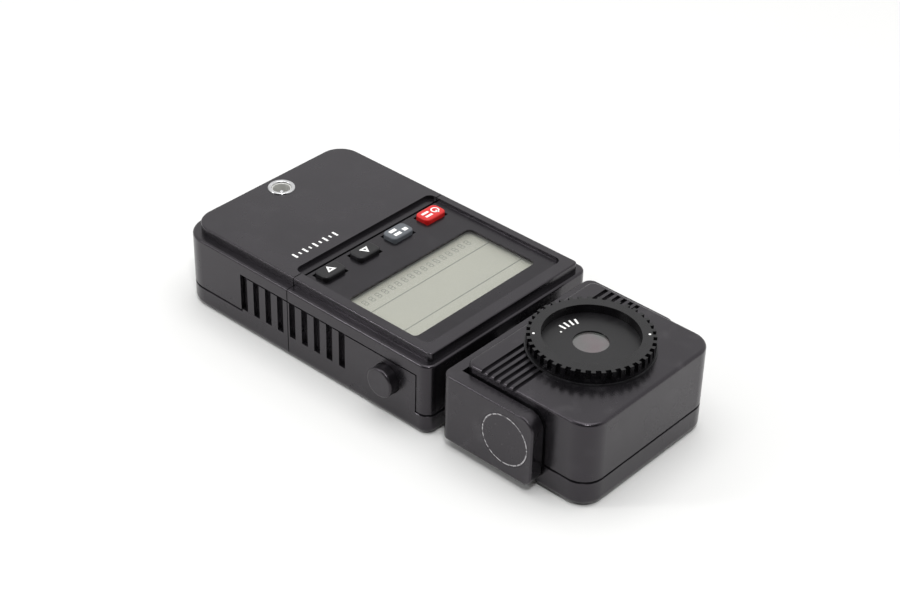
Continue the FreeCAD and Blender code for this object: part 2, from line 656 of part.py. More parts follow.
def make_battery_door():
    body = start("battery_door")
    y = (FAR + " + door_from_end", FAR + " + door_to_end")
    block(body, "plate", ("-" + HALF, "door_reach"), y, ("0", "wall"))
    block(body, "side", ("-" + HALF, "-" + HALF + " + wall"), y, ("0", "rear_depth - door_gap"))
    corner = pick(body.Tip, "y", x=[-SIZE["body_width"] / 2], z=[0])
    rounded(body, "rear_rim", corner, "rear_edge")
    block(
        body, "rails", ("-" + HALF + " + wall + door_gap", "door_reach"),
        (y[0] + " - door_rail", y[1] + " + door_rail"), ("door_lip + door_gap", "wall"),
    )
    grip = block(
        body, "grip",
        ("-" + HALF + " + door_grip_start", "-" + HALF + " + door_grip_start + door_grip_width"),
        (y[0] + " + door_grip_inset", y[1] + " - door_grip_inset"), ("-1", "door_grip_depth"), cut=True,
    )
    row_of(body, grip, "X", "door_grip_count", "door_grip_pitch")


def make_battery():
    body = start("battery_cell")
    y = FAR + " + cell_from_end"
    rod(body, "can", "cell_radius", ("-cell_length / 2", y, CELL_Z), "cell_length", "x")
    ends = pick(body.Tip, x=[-SIZE["cell_length"] / 2, SIZE["cell_length"] / 2])
    rounded(body, "can_ends", ends, "cell_edge")
    rod(body, "nub", "nub_radius", ("cell_length / 2", y, CELL_Z), "nub_length", "x")
    contact = start("battery_contact")
    block(
        contact, "leaf",
        (CONTACT_LOW, CONTACT_LOW + " + contact_thickness"),
        (y + " - contact_half", y + " + contact_half"),
        (CELL_Z + " - contact_half", CELL_Z + " + contact_half"),
    )
    leaf = start("battery_spring_plate")
    block(
        leaf, "leaf", (COIL_LOW + " - contact_thickness", COIL_LOW),
        (y + " - contact_half", y + " + contact_half"),
        (CELL_Z + " - contact_half", CELL_Z + " + contact_half"),
    )
    coil = helix(
        "battery_spring", "contact_half - 2 * contact_wire", "contact_wire",
        "contact_coil - 2 * contact_wire - fit_gap", "contact_turns",
        (COIL_LOW + " + contact_wire + fit_gap / 2", y, CELL_Z),
    )
    sub_parts.append(coil)


def helix(name, radius, wire, length, turns, at):
    """A round wire coiled along +X, from a point on the coil's axis."""
    path = doc.addObject("Part::Helix", name + "_path")
    path.setExpression("Radius", bound(radius))
    path.setExpression("Height", bound(length))
    path.setExpression("Pitch", bound("(%s) / %s" % (length, turns)))
    section = doc.addObject("Part::Circle", name + "_section")
    section.setExpression("Radius", bound(wire))
    place(section, (radius, "0", "0"), turned("y"))
    coil = doc.addObject("Part::Sweep", name + "_wire")
    coil.Sections = [section]
    doc.recompute()
    coil.Spine = (path, ["Edge1"])
    coil.Solid = True
    coil.Frenet = True
    turned_coil = doc.addObject("Part::Compound", name)
    turned_coil.Links = [coil]
    place(turned_coil, at, turned("x"))
    doc.recompute()
    return turned_coil


# The cell stands clear of the door's inner face.
CELL_Z = "(wall + cell_radius + cell_lift)"


# --- Display, board, keys ---------------------------------------------------------------------

def make_display():
    span_x = ("-window_left - window_lap + fit_gap", "window_right + window_lap - fit_gap")
    span_y = (
        FAR + " + window_from_end - window_lap + fit_gap",
        FAR + " + window_to_end + window_lap - fit_gap",
    )
    window = start("display_window")
    block(window, "pane", span_x, span_y, (PANE_LOW, PANE_TOP))
    lcd = start("lcd_panel")
    block(lcd, "glass", span_x, span_y, (FRAME_TOP, PANE_LOW))
    frame = start("lcd_frame")
    block(
        frame, "frame", ("-window_left - window_lap - frame_rim", "window_right + window_lap + frame_rim"),
        (
            FAR + " + window_from_end - window_lap - frame_rim",
            FAR + " + window_to_end + window_lap + frame_rim",
        ),
        (BOARD_TOP, FRAME_TOP),
    )
    block(
        frame, "connector_gap", ("-window_left", "window_right"),
        (FAR + " + window_from_end + frame_rim", FAR + " + window_to_end - frame_rim"),
        (BOARD_TOP + " - 1", FRAME_TOP + " + 1"), cut=True,
    )
    board = start("main_board")
    block(
        board, "board", ("-" + BOARD_HALF, BOARD_HALF),
        (FAR + " + board_from_end", FAR + " + board_to_end"),
        (BOARD_TOP + " - board_thickness", BOARD_TOP),
    )
    block(
        board, "processor", ("-" + BOARD_HALF + " / 3", BOARD_HALF + " / 3"),
        (FAR + " + window_from_end", FAR + " + window_from_end + 2 / 3 * " + BOARD_HALF),
        (BOARD_TOP + " - 2 * board_thickness", BOARD_TOP + " - board_thickness"),
    )
    mat = start("key_mat")
    block(
        mat, "mat", ("-" + BOARD_HALF, BOARD_HALF),
        (FAR + " + key_from_end - key_depth / 2", FAR + " + key_from_end + key_depth / 2"),
        (BOARD_TOP, BOARD_TOP + " + mat_thickness"),
    )
    dome = rod(
        mat, "dome", "key_depth / 3",
        ("-1.5 * key_pitch", FAR + " + key_from_end", BOARD_TOP),
        "ceiling - fit_gap - key_flange - key_travel - fit_gap - %s" % BOARD_TOP,
    )
    row_of(mat, dome, "X", "4", "key_pitch")


KEYS = ["power_key", "mode_key", "up_key", "down_key"]


def make_keys():
    for index, label in enumerate(KEYS):
        middle = "(%s * key_pitch)" % (index - 1.5)
        key = start(label)
        x = (middle + " - key_width / 2", middle + " + key_width / 2")
        y = (FAR + " + key_from_end - key_depth / 2", FAR + " + key_from_end + key_depth / 2")
        block(key, "cap", x, y, ("ceiling - fit_gap - key_flange", FLOOR + " + key_proud"))
        rounded(key, "corners", pick(key.Tip, "z"), "key_radius")
        top = SIZE["plate_height"] - SIZE["recess_depth"] + SIZE["key_proud"]
        rounded(key, "crown", pick(key.Tip, z=[top]), "key_crown")
        block(
            key, "flange", (x[0] + " - key_flange", x[1] + " + key_flange"),
            (y[0] + " - key_flange", y[1] + " + key_flange"),
            ("ceiling - fit_gap - key_flange", "ceiling - fit_gap"),
        )


# --- Measuring button -------------------------------------------------------------------------

FLANGE_FACE = "(body_width / 2 - wall - fit_gap)"
BUTTON_BACK = "(body_width / 2 - wall - fit_gap - button_flange_thickness - button_stem)"
SWITCH_FACE = "(%s - button_travel - fit_gap - plunger_length)" % BUTTON_BACK


def make_button():
    y = FAR + " + button_from_end"
    body = start("measuring_button")
    rod(
        body, "cap", "button_radius", (BUTTON_BACK, y, "button_height"),
        "body_width / 2 + button_proud - " + BUTTON_BACK, "x",
    )
    rim = pick(body.Tip, x=[SIZE["body_width"] / 2 + SIZE["button_proud"]])
    rounded(body, "cap_rim", rim, "button_edge")
    rod(
        body, "flange", "button_radius + button_flange",
        (FLANGE_FACE + " - button_flange_thickness", y, "button_height"), "button_flange_thickness", "x",
    )
    switch = start("button_switch")
    block(
        switch, "housing", (SWITCH_FACE + " - switch_length", SWITCH_FACE),
        (y + " - switch_half_width", y + " + switch_half_width"),
        ("button_height - switch_half_width", BOARD_TOP + " - board_thickness"),
    )
    rod(switch, "plunger", "plunger_radius", (SWITCH_FACE, y, "button_height"), "plunger_length", "x")
    coil = helix(
        "button_spring", "spring_radius - spring_wire", "spring_wire",
        "%s - %s - 2 * spring_wire - 2 * fit_gap" % (BUTTON_BACK, SWITCH_FACE), "spring_turns",
        (SWITCH_FACE + " + spring_wire + fit_gap", y, "button_height"),
    )
    sub_parts.append(coil)


# --- Flash cord socket, tripod bush, case screws ----------------------------------------------

def make_sync_terminal():
    y = FAR + " + sync_from_end"
    low = "(plate_height - sync_length)"
    ring = start("sync_terminal_ring")
    rod(ring, "barrel", "sync_radius", ("0", y, low), "sync_length + sync_proud")
    top = SIZE["plate_height"] + SIZE["sync_proud"]
    bevelled(ring, "rim", pick(ring.Tip, z=[top]), "sync_proud / 2")
    rod(
        ring, "flange", "sync_radius + sync_flange", ("0", y, "ceiling - fit_gap - sync_flange"),
        "sync_flange",
    )
    rod(ring, "well", "sync_well", ("0", y, low + " - 1"), "sync_length + sync_proud + 2", cut=True)
    plug = start("sync_terminal_insulator")
    rod(plug, "plug", "sync_well - fit_gap", ("0", y, low), "sync_plug")
    rod(plug, "pin_hole", "sync_pin", ("0", y, low + " - 1"), "sync_plug + 2", cut=True)
    pin = start("sync_terminal_pin")
    rod(
        pin, "pin", "sync_pin - fit_gap / 2", ("0", y, low),
        "sync_length + sync_proud - sync_pin_drop",
    )
    tip = SIZE["plate_height"] + SIZE["sync_proud"] - SIZE["sync_pin_drop"]
    rounded(pin, "tip", pick(pin.Tip, z=[tip]), "sync_pin / 3")


def make_tripod_bush():
    body = start("tripod_bush")
    rod(
        body, "bush", "tripod_bush_radius - fit_gap", ("0", "0", "0"), "tripod_depth + tripod_end",
    )
    rod(body, "socket", "tripod_radius", ("0", "0", "-1"), "tripod_depth + 1", cut=True)


def screw(name, x, y, low, head, head_height, shank, length):
    """A screw that stands on its head at a height: head and shank in one solid."""
    cap = solid_rod(name + "_cap", head, (x, y, low), head_height)
    stem = solid_rod(name + "_stem", shank, (x, y, low), "%s + %s" % (head_height, length))
    return joined("Part::MultiFuse", name, [cap, stem])


def make_case_screws():
    screws = []
    for index, (x, y) in enumerate(CASE_SCREWS):
        for sign in ("", "-"):
            screws.append(screw(
                "case_screw_%d_%s" % (index, "left" if sign else "right"), sign + x, y,
                "screw_sink - screw_head_height", "screw_head", "screw_head_height",
                "screw_radius - fit_gap", "rear_depth - screw_sink + screw_reach",
            ))
    sub_parts.append(joined("Part::Compound", "case_screws", screws))


# --- Neck -------------------------------------------------------------------------------------

FLANGE_INSIDE = "(body_length / 2 - wall - collar_flange - fit_gap)"
CLIP_END = "(%s - fit_gap - washer_thickness - fit_gap)" % FLANGE_INSIDE
CLIP_START = "(%s - clip_thickness)" % CLIP_END
SHAFT_START = "(%s - shaft_tail)" % CLIP_START


def make_neck():
    collar = start("neck_collar")
    outer = "shaft_radius + shaft_play + collar_wall"
    rod(
        collar, "tube", outer, ("0", FLANGE_INSIDE, "axis_height"),
        "wall + collar_flange + fit_gap + collar_proud", "y",
    )
    rod(
        collar, "flange", outer + " + collar_flange", ("0", FLANGE_INSIDE, "axis_height"),
        "collar_flange", "y",
    )
    rod(
        collar, "bearing", "shaft_radius + shaft_play", ("0", FLANGE_INSIDE + " - 1", "axis_height"),
        "wall + collar_flange + collar_proud + 3", "y", cut=True,
    )
    washer = start("friction_washer")
    rod(
        washer, "washer", outer, ("0", CLIP_END + " + fit_gap", "axis_height"),
        "washer_thickness - fit_gap", "y",
    )
    rod(
        washer, "hole", "shaft_radius + shaft_play", ("0", CLIP_END + " - 1", "axis_height"),
        "washer_thickness + 2", "y", cut=True,
    )
    clip = start("shaft_clip")
    rod(
        clip, "ring", "shaft_radius + clip_reach", ("0", CLIP_START, "axis_height"),
        "clip_thickness", "y",
    )
    rod(
        clip, "hole", "shaft_radius - clip_bite + fit_gap", ("0", CLIP_START + " - 1", "axis_height"),
        "clip_thickness + 2", "y", cut=True,
    )
    block(
        clip, "gap", ("-clip_reach", "clip_reach"), (CLIP_START + " - 1", CLIP_END + " + 1"),
        ("axis_height", "axis_height + 2 * shaft_radius"), cut=True,
    )


def make_shaft():
    end = BRACKET_Y + " + bracket_thickness"
    shaft = start("neck_shaft")
    rod(shaft, "tail", "shaft_radius", ("0", SHAFT_START, "axis_height"), "shaft_tail - fit_gap", "y")
    rod(
        shaft, "core", "shaft_radius - clip_bite", ("0", SHAFT_START, "axis_height"),
        "%s - %s" % (end, SHAFT_START), "y",
    )
    rod(
        shaft, "journal", "shaft_radius", ("0", CLIP_END + " + fit_gap", "axis_height"),
        "%s - %s - fit_gap" % (end, CLIP_END), "y",
    )
    rod(
        shaft, "flange", "shaft_radius + shaft_flange", ("0", end + " - shaft_flange", "axis_height"),
        "shaft_flange", "y",
    )
    rod(
        shaft, "bore", "shaft_bore", ("0", SHAFT_START + " - 1", "axis_height"),
        "%s - %s + 2" % (end, SHAFT_START), "y", cut=True,
    )


# --- Head bracket -----------------------------------------------------------------------------

CAP_Y = BRACKET_Y + " + cap_from_neck"
ARM_END = BRACKET_Y + " + arm_reach"


def make_bracket():
    body = start("head_bracket")
    inside = BRACKET_Y + " + bracket_thickness"
    z = ("bracket_low", "bracket_high")
    block(body, "cross_wall", ("-arm_left", "arm_right"), (BRACKET_Y, inside), z)
    block(body, "right_arm", ("arm_right - arm_right_thickness", "arm_right"), (BRACKET_Y, ARM_END), z)
    block(body, "left_arm", ("-arm_left", "-arm_left + arm_left_thickness"), (BRACKET_Y, ARM_END), z)
    neck_side = SIZE["body_length"] / 2 + SIZE["neck_gap"]
    tips = neck_side + SIZE["arm_reach"]
    rounded(body, "corners", pick(body.Tip, "z", y=[neck_side]), "bracket_radius")
    rounded(body, "upper_tips", pick(body.Tip, "x", y=[tips], z=[SIZE["bracket_high"]]), "arm_radius")
    rounded(body, "lower_tips", pick(body.Tip, "x", y=[tips], z=[SIZE["bracket_low"]]), "arm_low_radius")
    rims = [
        name for name in pick(body.Tip, z=[SIZE["bracket_low"], SIZE["bracket_high"]])
        if is_bracket_rim(body.Tip, name, neck_side)
    ]
    rounded(body, "rims", rims, "bracket_edge")
    rod(
        body, "neck_boss", "boss_on_bracket",
        ("0", BRACKET_Y + " - boss_on_bracket_length", "axis_height"), "boss_on_bracket_length", "y",
    )
    for name, low in (
        ("right_pad", "arm_right - arm_right_thickness - head_play"),
        ("left_pad", "-arm_left + arm_left_thickness"),
    ):
        rod(body, name, "arm_pad", (low, CAP_Y, "cap_height"), "head_play", "x")
    rod(
        body, "shaft_hole", "shaft_radius + fit_gap",
        ("0", BRACKET_Y + " - boss_on_bracket_length - 1", "axis_height"),
        "boss_on_bracket_length + bracket_thickness + 2", "y", cut=True,
    )
    rod(
        body, "flange_seat", "shaft_radius + shaft_flange + fit_gap",
        ("0", inside + " - shaft_flange", "axis_height"), "shaft_flange + 1", "y", cut=True,
    )
    for name, cap_low, sink_low, hole_low, length in (
        (
            "right", "arm_right - cap_thickness", "arm_right - cap_thickness - arm_screw_sink",
            "arm_right - arm_right_thickness - head_play - 1", "arm_right_thickness + head_play + 2",
        ),
        (
            "left", "-arm_left - 1", "-arm_left - 1", "-arm_left - 1",
            "arm_left_thickness + head_play + 2",
        ),
    ):
        rod(
            body, name + "_cap_seat", "cap_radius + fit_gap", (cap_low, CAP_Y, "cap_height"),
            "cap_thickness + 1", "x", cut=True,
        )
        rod(
            body, name + "_head_seat", "arm_screw_head + fit_gap", (sink_low, CAP_Y, "cap_height"),
            "cap_thickness + arm_screw_sink + 1", "x", cut=True,
        )
        rod(
            body, name + "_screw_hole", "arm_screw_radius + fit_gap", (hole_low, CAP_Y, "cap_height"),
            length, "x", cut=True,
        )


def is_bracket_rim(feature, edge_name, neck_side):
    """Whether an edge is on the bracket's outside: its neck side, its corners or its arms' faces."""
    box = feature.Shape.getElement(edge_name).BoundBox
    outer = (SIZE["arm_right"], -SIZE["arm_left"])
    on_side = any(abs(box.XMin - x) < NEAR and abs(box.XMax - x) < NEAR for x in outer)
    on_neck_side = abs(box.YMin - neck_side) < NEAR
    return on_side or on_neck_side


def make_arm_caps():
    caps = []
    screws = []
    for name, face in (("right", "arm_right"), ("left", "-arm_left")):
        cap_low = "%s - cap_thickness" % face if name == "right" else face
        caps.append(solid_rod("cap_" + name, "cap_radius", (cap_low, CAP_Y, "cap_height"),
                              "cap_thickness", "x"))
        thickness = "arm_%s_thickness" % name
        shank = "%s + head_play + head_wall - cap_thickness" % thickness
        if name == "right":
            head_low = "arm_right - cap_thickness - arm_screw_sink + fit_gap"
            shank_low = "arm_right - cap_thickness - (%s)" % shank
        else:
            head_low = "-arm_left + cap_thickness"
            shank_low = "-arm_left + cap_thickness"
        head = solid_rod("arm_screw_cap_" + name, "arm_screw_head", (head_low, CAP_Y, "cap_height"),
                         "arm_screw_sink - fit_gap", "x")
        stem = solid_rod("arm_screw_stem_" + name, "arm_screw_radius", (shank_low, CAP_Y, "cap_height"),
                         shank, "x")
        screws.append(joined("Part::MultiFuse", "arm_screw_" + name, [head, stem]))
    sub_parts.append(joined("Part::Compound", "arm_caps", caps))
    sub_parts.append(joined("Part::Compound", "arm_screws", screws))


# --- Head shells ------------------------------------------------------------------------------

HEAD_FREE_END = HEAD_Y + " + head_length"
SENSOR_FACE = "(head_low + head_thickness - sensor_drop)"
BARREL_RADIUS = "(lens_opening + lens_lip + lens_wall)"


def head_form(body, low, high, rim, rim_radius, hollow):
    """A head shell: an open tray between two heights, rounded at its closed face."""
    neck_end = SIZE["body_length"] / 2 + SIZE["neck_gap"] + SIZE["bracket_thickness"] + SIZE["head_gap"]
    free_end = neck_end + SIZE["head_length"]
    block(body, "tray", (HEAD_LEFT, HEAD_RIGHT), (HEAD_Y, HEAD_FREE_END), (low, high))
    block(
        body, "hollow", (HEAD_LEFT + " + head_wall", HEAD_RIGHT + " - head_wall"),
        (HEAD_Y + " + head_wall", HEAD_FREE_END + " - head_wall"), hollow, cut=True,
    )
    hollow_ends = (neck_end + SIZE["head_wall"], free_end - SIZE["head_wall"])
    rounded(body, "neck_hollow", pick(body.Tip, "z", y=[hollow_ends[0]]), "head_neck_radius - head_wall")
    rounded(body, "free_hollow", pick(body.Tip, "z", y=[hollow_ends[1]]), "head_radius - head_wall")
    rounded(body, "neck_corners", pick(body.Tip, "z", y=[neck_end]), "head_neck_radius")
    rounded(body, "free_corners", pick(body.Tip, "z", y=[free_end]), "head_radius")
    rounded(body, "rim", pick(body.Tip, z=[rim]), rim_radius)
    middle = (hollow_ends[0] + hollow_ends[1]) / 2
    seam = [
        name for name in pick(body.Tip, z=[SIZE["head_seam"]])
        if is_outer_edge(body.Tip, name, middle, hollow_ends[1] - middle)
    ]
    bevelled(body, "seam_bevel", seam, "seam_groove")


def is_outer_edge(feature, edge_name, middle, half_y):
    """Whether an edge lies outside the head's hollow."""
    box = feature.Shape.getElement(edge_name).BoundBox
    right = SIZE["arm_right"] - SIZE["arm_right_thickness"] - SIZE["head_play"] - SIZE["head_wall"]
    left = -SIZE["arm_left"] + SIZE["arm_left_thickness"] + SIZE["head_play"] + SIZE["head_wall"]
    beyond_x = box.XMax > right + NEAR or box.XMin < left - NEAR
    beyond_y = box.YMax > middle + half_y + NEAR or box.YMin < middle - half_y - NEAR
    return beyond_x or beyond_y


def make_head_front_shell():
    body = start("head_front_shell")
    top = SIZE["head_low"] + SIZE["head_thickness"]
    ceiling = HEAD_TOP + " - head_wall"
    head_form(body, "head_seam", HEAD_TOP, top, "head_edge", ("head_seam - 1", ceiling))
    rib = block(
        body, "top_groove", (HEAD_LEFT + " + rib_margin", HEAD_RIGHT + " + 1"),
        (HEAD_Y + " + rib_start", HEAD_Y + " + rib_start + rib_width"),
        (HEAD_TOP + " - rib_depth", HEAD_TOP + " + 1"), cut=True,
    )
    row_of(body, rib, "Y", "rib_count", "rib_pitch")
    for index, (x, y) in enumerate(HEAD_SCREWS):
        rod(
            body, "boss_%d" % index, "head_boss", (x, y, "head_seam"),
            ceiling + " - head_seam",
        )
        rod(
            body, "boss_hole_%d" % index, "head_screw_radius", (x, y, "head_seam - 1"),
            "screw_reach + 1", cut=True,
        )
    for x in ("-(sensor_half_x - sensor_post_inset)", "(sensor_half_x - sensor_post_inset)"):
        for sign in ("-", "+"):
            rod(
                body, "post_%d" % len(body.Group), "sensor_post",
                (x, RECEPTOR_Y + sign + " (sensor_half_y - sensor_post_inset)", SENSOR_FACE),
                "%s - %s" % (ceiling, SENSOR_FACE),
            )
    rod(
        body, "light_hole", BARREL_RADIUS + " + barrel_play", ("0", RECEPTOR_Y, ceiling + " - 1"),
        "head_wall + 2", cut=True,
    )
    rod(
        body, "lead_hole", "shaft_bore", ("0", HEAD_Y + " - 1", "axis_height"), "head_wall + 2", "y",
        cut=True,
    )
    rod(
        body, "arm_screw_holes", "arm_screw_radius + fit_gap", (HEAD_LEFT + " - 1", CAP_Y, "cap_height"),
        "%s - %s + 2" % (HEAD_RIGHT, HEAD_LEFT), "x", cut=True,
    )


def make_head_rear_shell():
    body = start("head_rear_shell")
    head_form(
        body, "head_low", "head_seam", SIZE["head_low"], "head_rear_edge",
        ("head_low + head_wall", "head_seam + 1"),
    )
    for index, (x, y) in enumerate(HEAD_SCREWS):
        rod(body, "boss_%d" % index, "head_boss", (x, y, "head_low + head_wall"),
            "head_seam - head_low - head_wall")
        rod(body, "hole_%d" % index, "head_screw_radius + screw_play", (x, y, "0 - 1"),
            "head_seam + 2", cut=True)
        rod(body, "sink_%d" % index, "head_screw_head + screw_play", (x, y, "head_low - 1"),
            "screw_sink + 1", cut=True)


def make_head_screws():
    screws = []
    for index, (x, y) in enumerate(HEAD_SCREWS):
        screws.append(screw(
            "head_screw_%d" % index, x, y, "head_low + screw_sink - screw_head_height",
            "head_screw_head", "screw_head_height", "head_screw_radius - fit_gap",
            "head_seam - head_low - screw_sink + screw_reach / 2",
        ))
    sub_parts.append(joined("Part::Compound", "head_screws", screws))


def make_sensor():
    board = start("sensor_board")
    block(
        board, "board", ("-sensor_half_x", "sensor_half_x"),
        (RECEPTOR_Y + " - sensor_half_y", RECEPTOR_Y + " + sensor_half_y"),
        (SENSOR_FACE + " - sensor_board_thickness", SENSOR_FACE),
    )
    at = ("0", RECEPTOR_Y, SENSOR_FACE)
    holder = start("cell_holder")
    rod(holder, "tube", "photocell_radius + fit_gap + cell_holder_wall", at, "cell_holder_height")
    rod(
        holder, "bore", "photocell_radius + fit_gap", ("0", RECEPTOR_Y, SENSOR_FACE + " - 1"),
        "cell_holder_height + 2", cut=True,
    )
    cell = start("photocell")
    rod(cell, "cell", "photocell_radius", at, "photocell_thickness")
    glass = start("filter_glass")
    rod(
        glass, "glass", "photocell_radius + cell_holder_wall",
        ("0", RECEPTOR_Y, SENSOR_FACE + " + cell_holder_height"), "filter_thickness",
    )
    lead = start("head_lead")
    lead_end = RECEPTOR_Y + " - sensor_half_y + 2 * lead_radius"
    rod(
        lead, "along_neck", "lead_radius", ("0", SHAFT_START + " - lead_tail", "axis_height"),
        "%s - %s + lead_tail" % (lead_end, SHAFT_START), "y",
    )
    rod(
        lead, "to_board", "lead_radius", ("0", lead_end, "axis_height"),
        "%s - sensor_board_thickness - axis_height" % SENSOR_FACE,
    )


# --- Receptor ---------------------------------------------------------------------------------

def make_receptor():
    seat = start("bayonet_seat")
    rod(seat, "flange", "seat_radius", ("0", RECEPTOR_Y, HEAD_TOP), "seat_thickness")
    rod(
        seat, "opening", BARREL_RADIUS + " + barrel_play", ("0", RECEPTOR_Y, HEAD_TOP + " - 1"),
        "seat_thickness + 2", cut=True,
    )
    ring = start("receptor_ring")
    place(ring, ("0", RECEPTOR_Y, RING_LOW))
    rod(ring, "drum", "ring_radius", ("0", "0", "0"), "ring_height")
    rod(ring, "ledge_hole", "ring_opening - ring_ledge", ("0", "0", "-1"), "ring_height + 2", cut=True)
    rod(ring, "disc_well", "ring_opening", ("0", "0", "ledge_thickness"), "ring_height + 1", cut=True)
    notch = block(
        ring, "notch", ("ring_radius - notch_depth", "ring_radius + 1"),
        ("-notch_width / 2", "notch_width / 2"), ("ring_foot", "ring_height + 1"), cut=True,
    )
    round_of(ring, notch, "notch_count")
    disc = start("receptor_disc")
    rod(disc, "disc", "ring_opening - fit_gap", ("0", RECEPTOR_Y, DISC_LOW), "disc_thickness")
    rod(
        disc, "opening", "lens_opening", ("0", RECEPTOR_Y, DISC_LOW + " - 1"), "disc_thickness + 2",
        cut=True,
    )
    barrel = start("lens_retainer")
    low = DISC_LOW + " - barrel_length"
    rod(barrel, "tube", BARREL_RADIUS, ("0", RECEPTOR_Y, low), "barrel_length")
    rod(
        barrel, "through", "lens_opening + lens_lip - barrel_ledge", ("0", RECEPTOR_Y, low + " - 1"),
        "barrel_length + 2", cut=True,
    )
    rod(
        barrel, "lens_seat", "lens_opening + lens_lip",
        ("0", RECEPTOR_Y, DISC_LOW + " - lens_thickness"), "lens_thickness + 1", cut=True,
    )
    lens = start("receptor_lens")
    rod(
        lens, "lens", "lens_opening + lens_lip - fit_gap",
        ("0", RECEPTOR_Y, DISC_LOW + " - lens_thickness"), "lens_thickness",
    )


for make in (
    make_front_cover, make_lower_front_cover, make_rear_cover, make_battery_door, make_battery,
    make_display, make_keys, make_button, make_sync_terminal, make_tripod_bush, make_case_screws,
    make_neck, make_shaft, make_bracket, make_arm_caps, make_head_front_shell,
    make_head_rear_shell, make_head_screws, make_sensor, make_receptor,
):
    make()
doc.recompute()

for item in doc.Objects:
    if "Invalid" in item.State or "Error" in item.State:
        raise RuntimeError("%s did not build: %s" % (item.Name, item.State))
for item in sub_parts:
    if item.Shape.isNull() or not item.Shape.isValid() or item.Shape.Volume <= 0:
        raise RuntimeError("%s has no sound shape" % item.Label)

os.makedirs("parts", exist_ok=True)
for item in sub_parts:
    item.Shape.exportStep("parts/%s.step" % item.Label)
    print("%-26s %10.1f mm3  %d solids" % (item.Label, item.Shape.Volume, len(item.Shape.Solids)))
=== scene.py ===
import math

import bmesh
import bpy
import numpy as np
from mathutils import Matrix, Vector


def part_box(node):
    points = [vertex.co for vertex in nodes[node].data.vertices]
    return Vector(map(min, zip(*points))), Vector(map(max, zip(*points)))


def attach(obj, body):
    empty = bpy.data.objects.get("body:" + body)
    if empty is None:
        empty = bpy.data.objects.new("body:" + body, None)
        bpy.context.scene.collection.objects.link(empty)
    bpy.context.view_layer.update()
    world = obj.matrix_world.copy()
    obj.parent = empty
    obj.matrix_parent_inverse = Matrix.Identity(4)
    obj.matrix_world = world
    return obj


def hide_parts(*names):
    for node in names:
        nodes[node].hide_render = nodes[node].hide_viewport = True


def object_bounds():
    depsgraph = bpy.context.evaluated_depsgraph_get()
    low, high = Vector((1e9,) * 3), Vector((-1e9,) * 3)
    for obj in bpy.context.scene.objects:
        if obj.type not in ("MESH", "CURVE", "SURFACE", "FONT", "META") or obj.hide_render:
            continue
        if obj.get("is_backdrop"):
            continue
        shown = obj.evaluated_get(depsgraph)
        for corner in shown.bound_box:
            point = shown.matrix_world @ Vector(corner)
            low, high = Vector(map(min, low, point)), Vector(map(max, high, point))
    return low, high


# %% [markdown]
# # A handheld light meter
#
# The meter is a flat black body with a sunk panel of keys and a display. Its light-sensing head
# sits in a bracket that swivels on the end of the body. The frame that is loaded here holds every
# piece at its true size, in metres: +Z comes out of the display and +Y runs towards the head.
# Nothing in the frame is moved. Each step below gives a surface its real finish, or swaps a plain
# stand-in for a finer piece of the same size.

# %% load the frame
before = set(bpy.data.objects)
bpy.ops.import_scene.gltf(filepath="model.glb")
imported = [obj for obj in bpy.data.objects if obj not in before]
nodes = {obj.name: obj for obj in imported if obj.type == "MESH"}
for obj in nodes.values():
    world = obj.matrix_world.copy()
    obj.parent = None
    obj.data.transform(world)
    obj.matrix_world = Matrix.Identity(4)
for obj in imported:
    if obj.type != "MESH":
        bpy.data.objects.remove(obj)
cad_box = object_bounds()
MM = 0.001
print("pieces in the frame:", len(nodes))
print("box in mm:", [[round(v / MM, 1) for v in corner] for corner in cad_box])

# %% [markdown]
# ## Camera and studio
#
# Black plastic shows little colour of its own: what is seen of it is mostly the pale reflection
# of the studio. So the surround matters as much as the finishes, and it is built in the last step
# but one. The camera is a long lens, above and beyond the corner of the head, and it is tipped by
# a degree or so, as a camera held by hand is.

# %% camera
CAMERA_AT = Vector((0.31943, 0.30716, 0.31379))
AZIMUTH, ELEVATION, ROLL = (math.radians(a) for a in (131.496, 34.879, 1.386))
SENSOR_MM = 36.0
FOCAL_MM = 79.56

backward = Vector((
    math.sin(AZIMUTH) * math.cos(ELEVATION), -math.cos(AZIMUTH) * math.cos(ELEVATION), math.sin(ELEVATION),
))
level_right = (-backward).cross(Vector((0, 0, 1))).normalized()
level_up = level_right.cross(-backward)
right = level_right * math.cos(ROLL) + level_up * math.sin(ROLL)
up = level_up * math.cos(ROLL) - level_right * math.sin(ROLL)
camera = bpy.data.objects.new("camera", bpy.data.cameras.new("camera"))
camera.data.sensor_width = SENSOR_MM
camera.data.lens = FOCAL_MM
camera.data.clip_start = 10 * MM
turn = Matrix((right, up, backward)).transposed()
camera.matrix_world = Matrix.Translation(CAMERA_AT) @ turn.to_4x4()
bpy.context.collection.objects.link(camera)
bpy.context.scene.camera = camera
cad_middle = (Vector(cad_box[0]) + Vector(cad_box[1])) / 2
print("camera to the middle of the meter in mm:", round((CAMERA_AT - cad_middle).length / MM, 1))

# %% [markdown]
# ## Small helpers
#
# A colour is written as the hex value that a paint program shows, and one function turns it into
# the linear numbers that the renderer wants. One more function adds a shader node with its
# settings and links, so that each finish below reads as a short list of what it is made of.


# %% colour and node helpers
def colour(hex_code):
    """Linear RGBA of a hex colour, by the usual sRGB curve."""
    parts = [int(hex_code[i:i + 2], 16) / 255 for i in (1, 3, 5)]
    return [c / 12.92 if c <= 0.04045 else ((c + 0.055) / 1.055) ** 2.4 for c in parts] + [1.0]


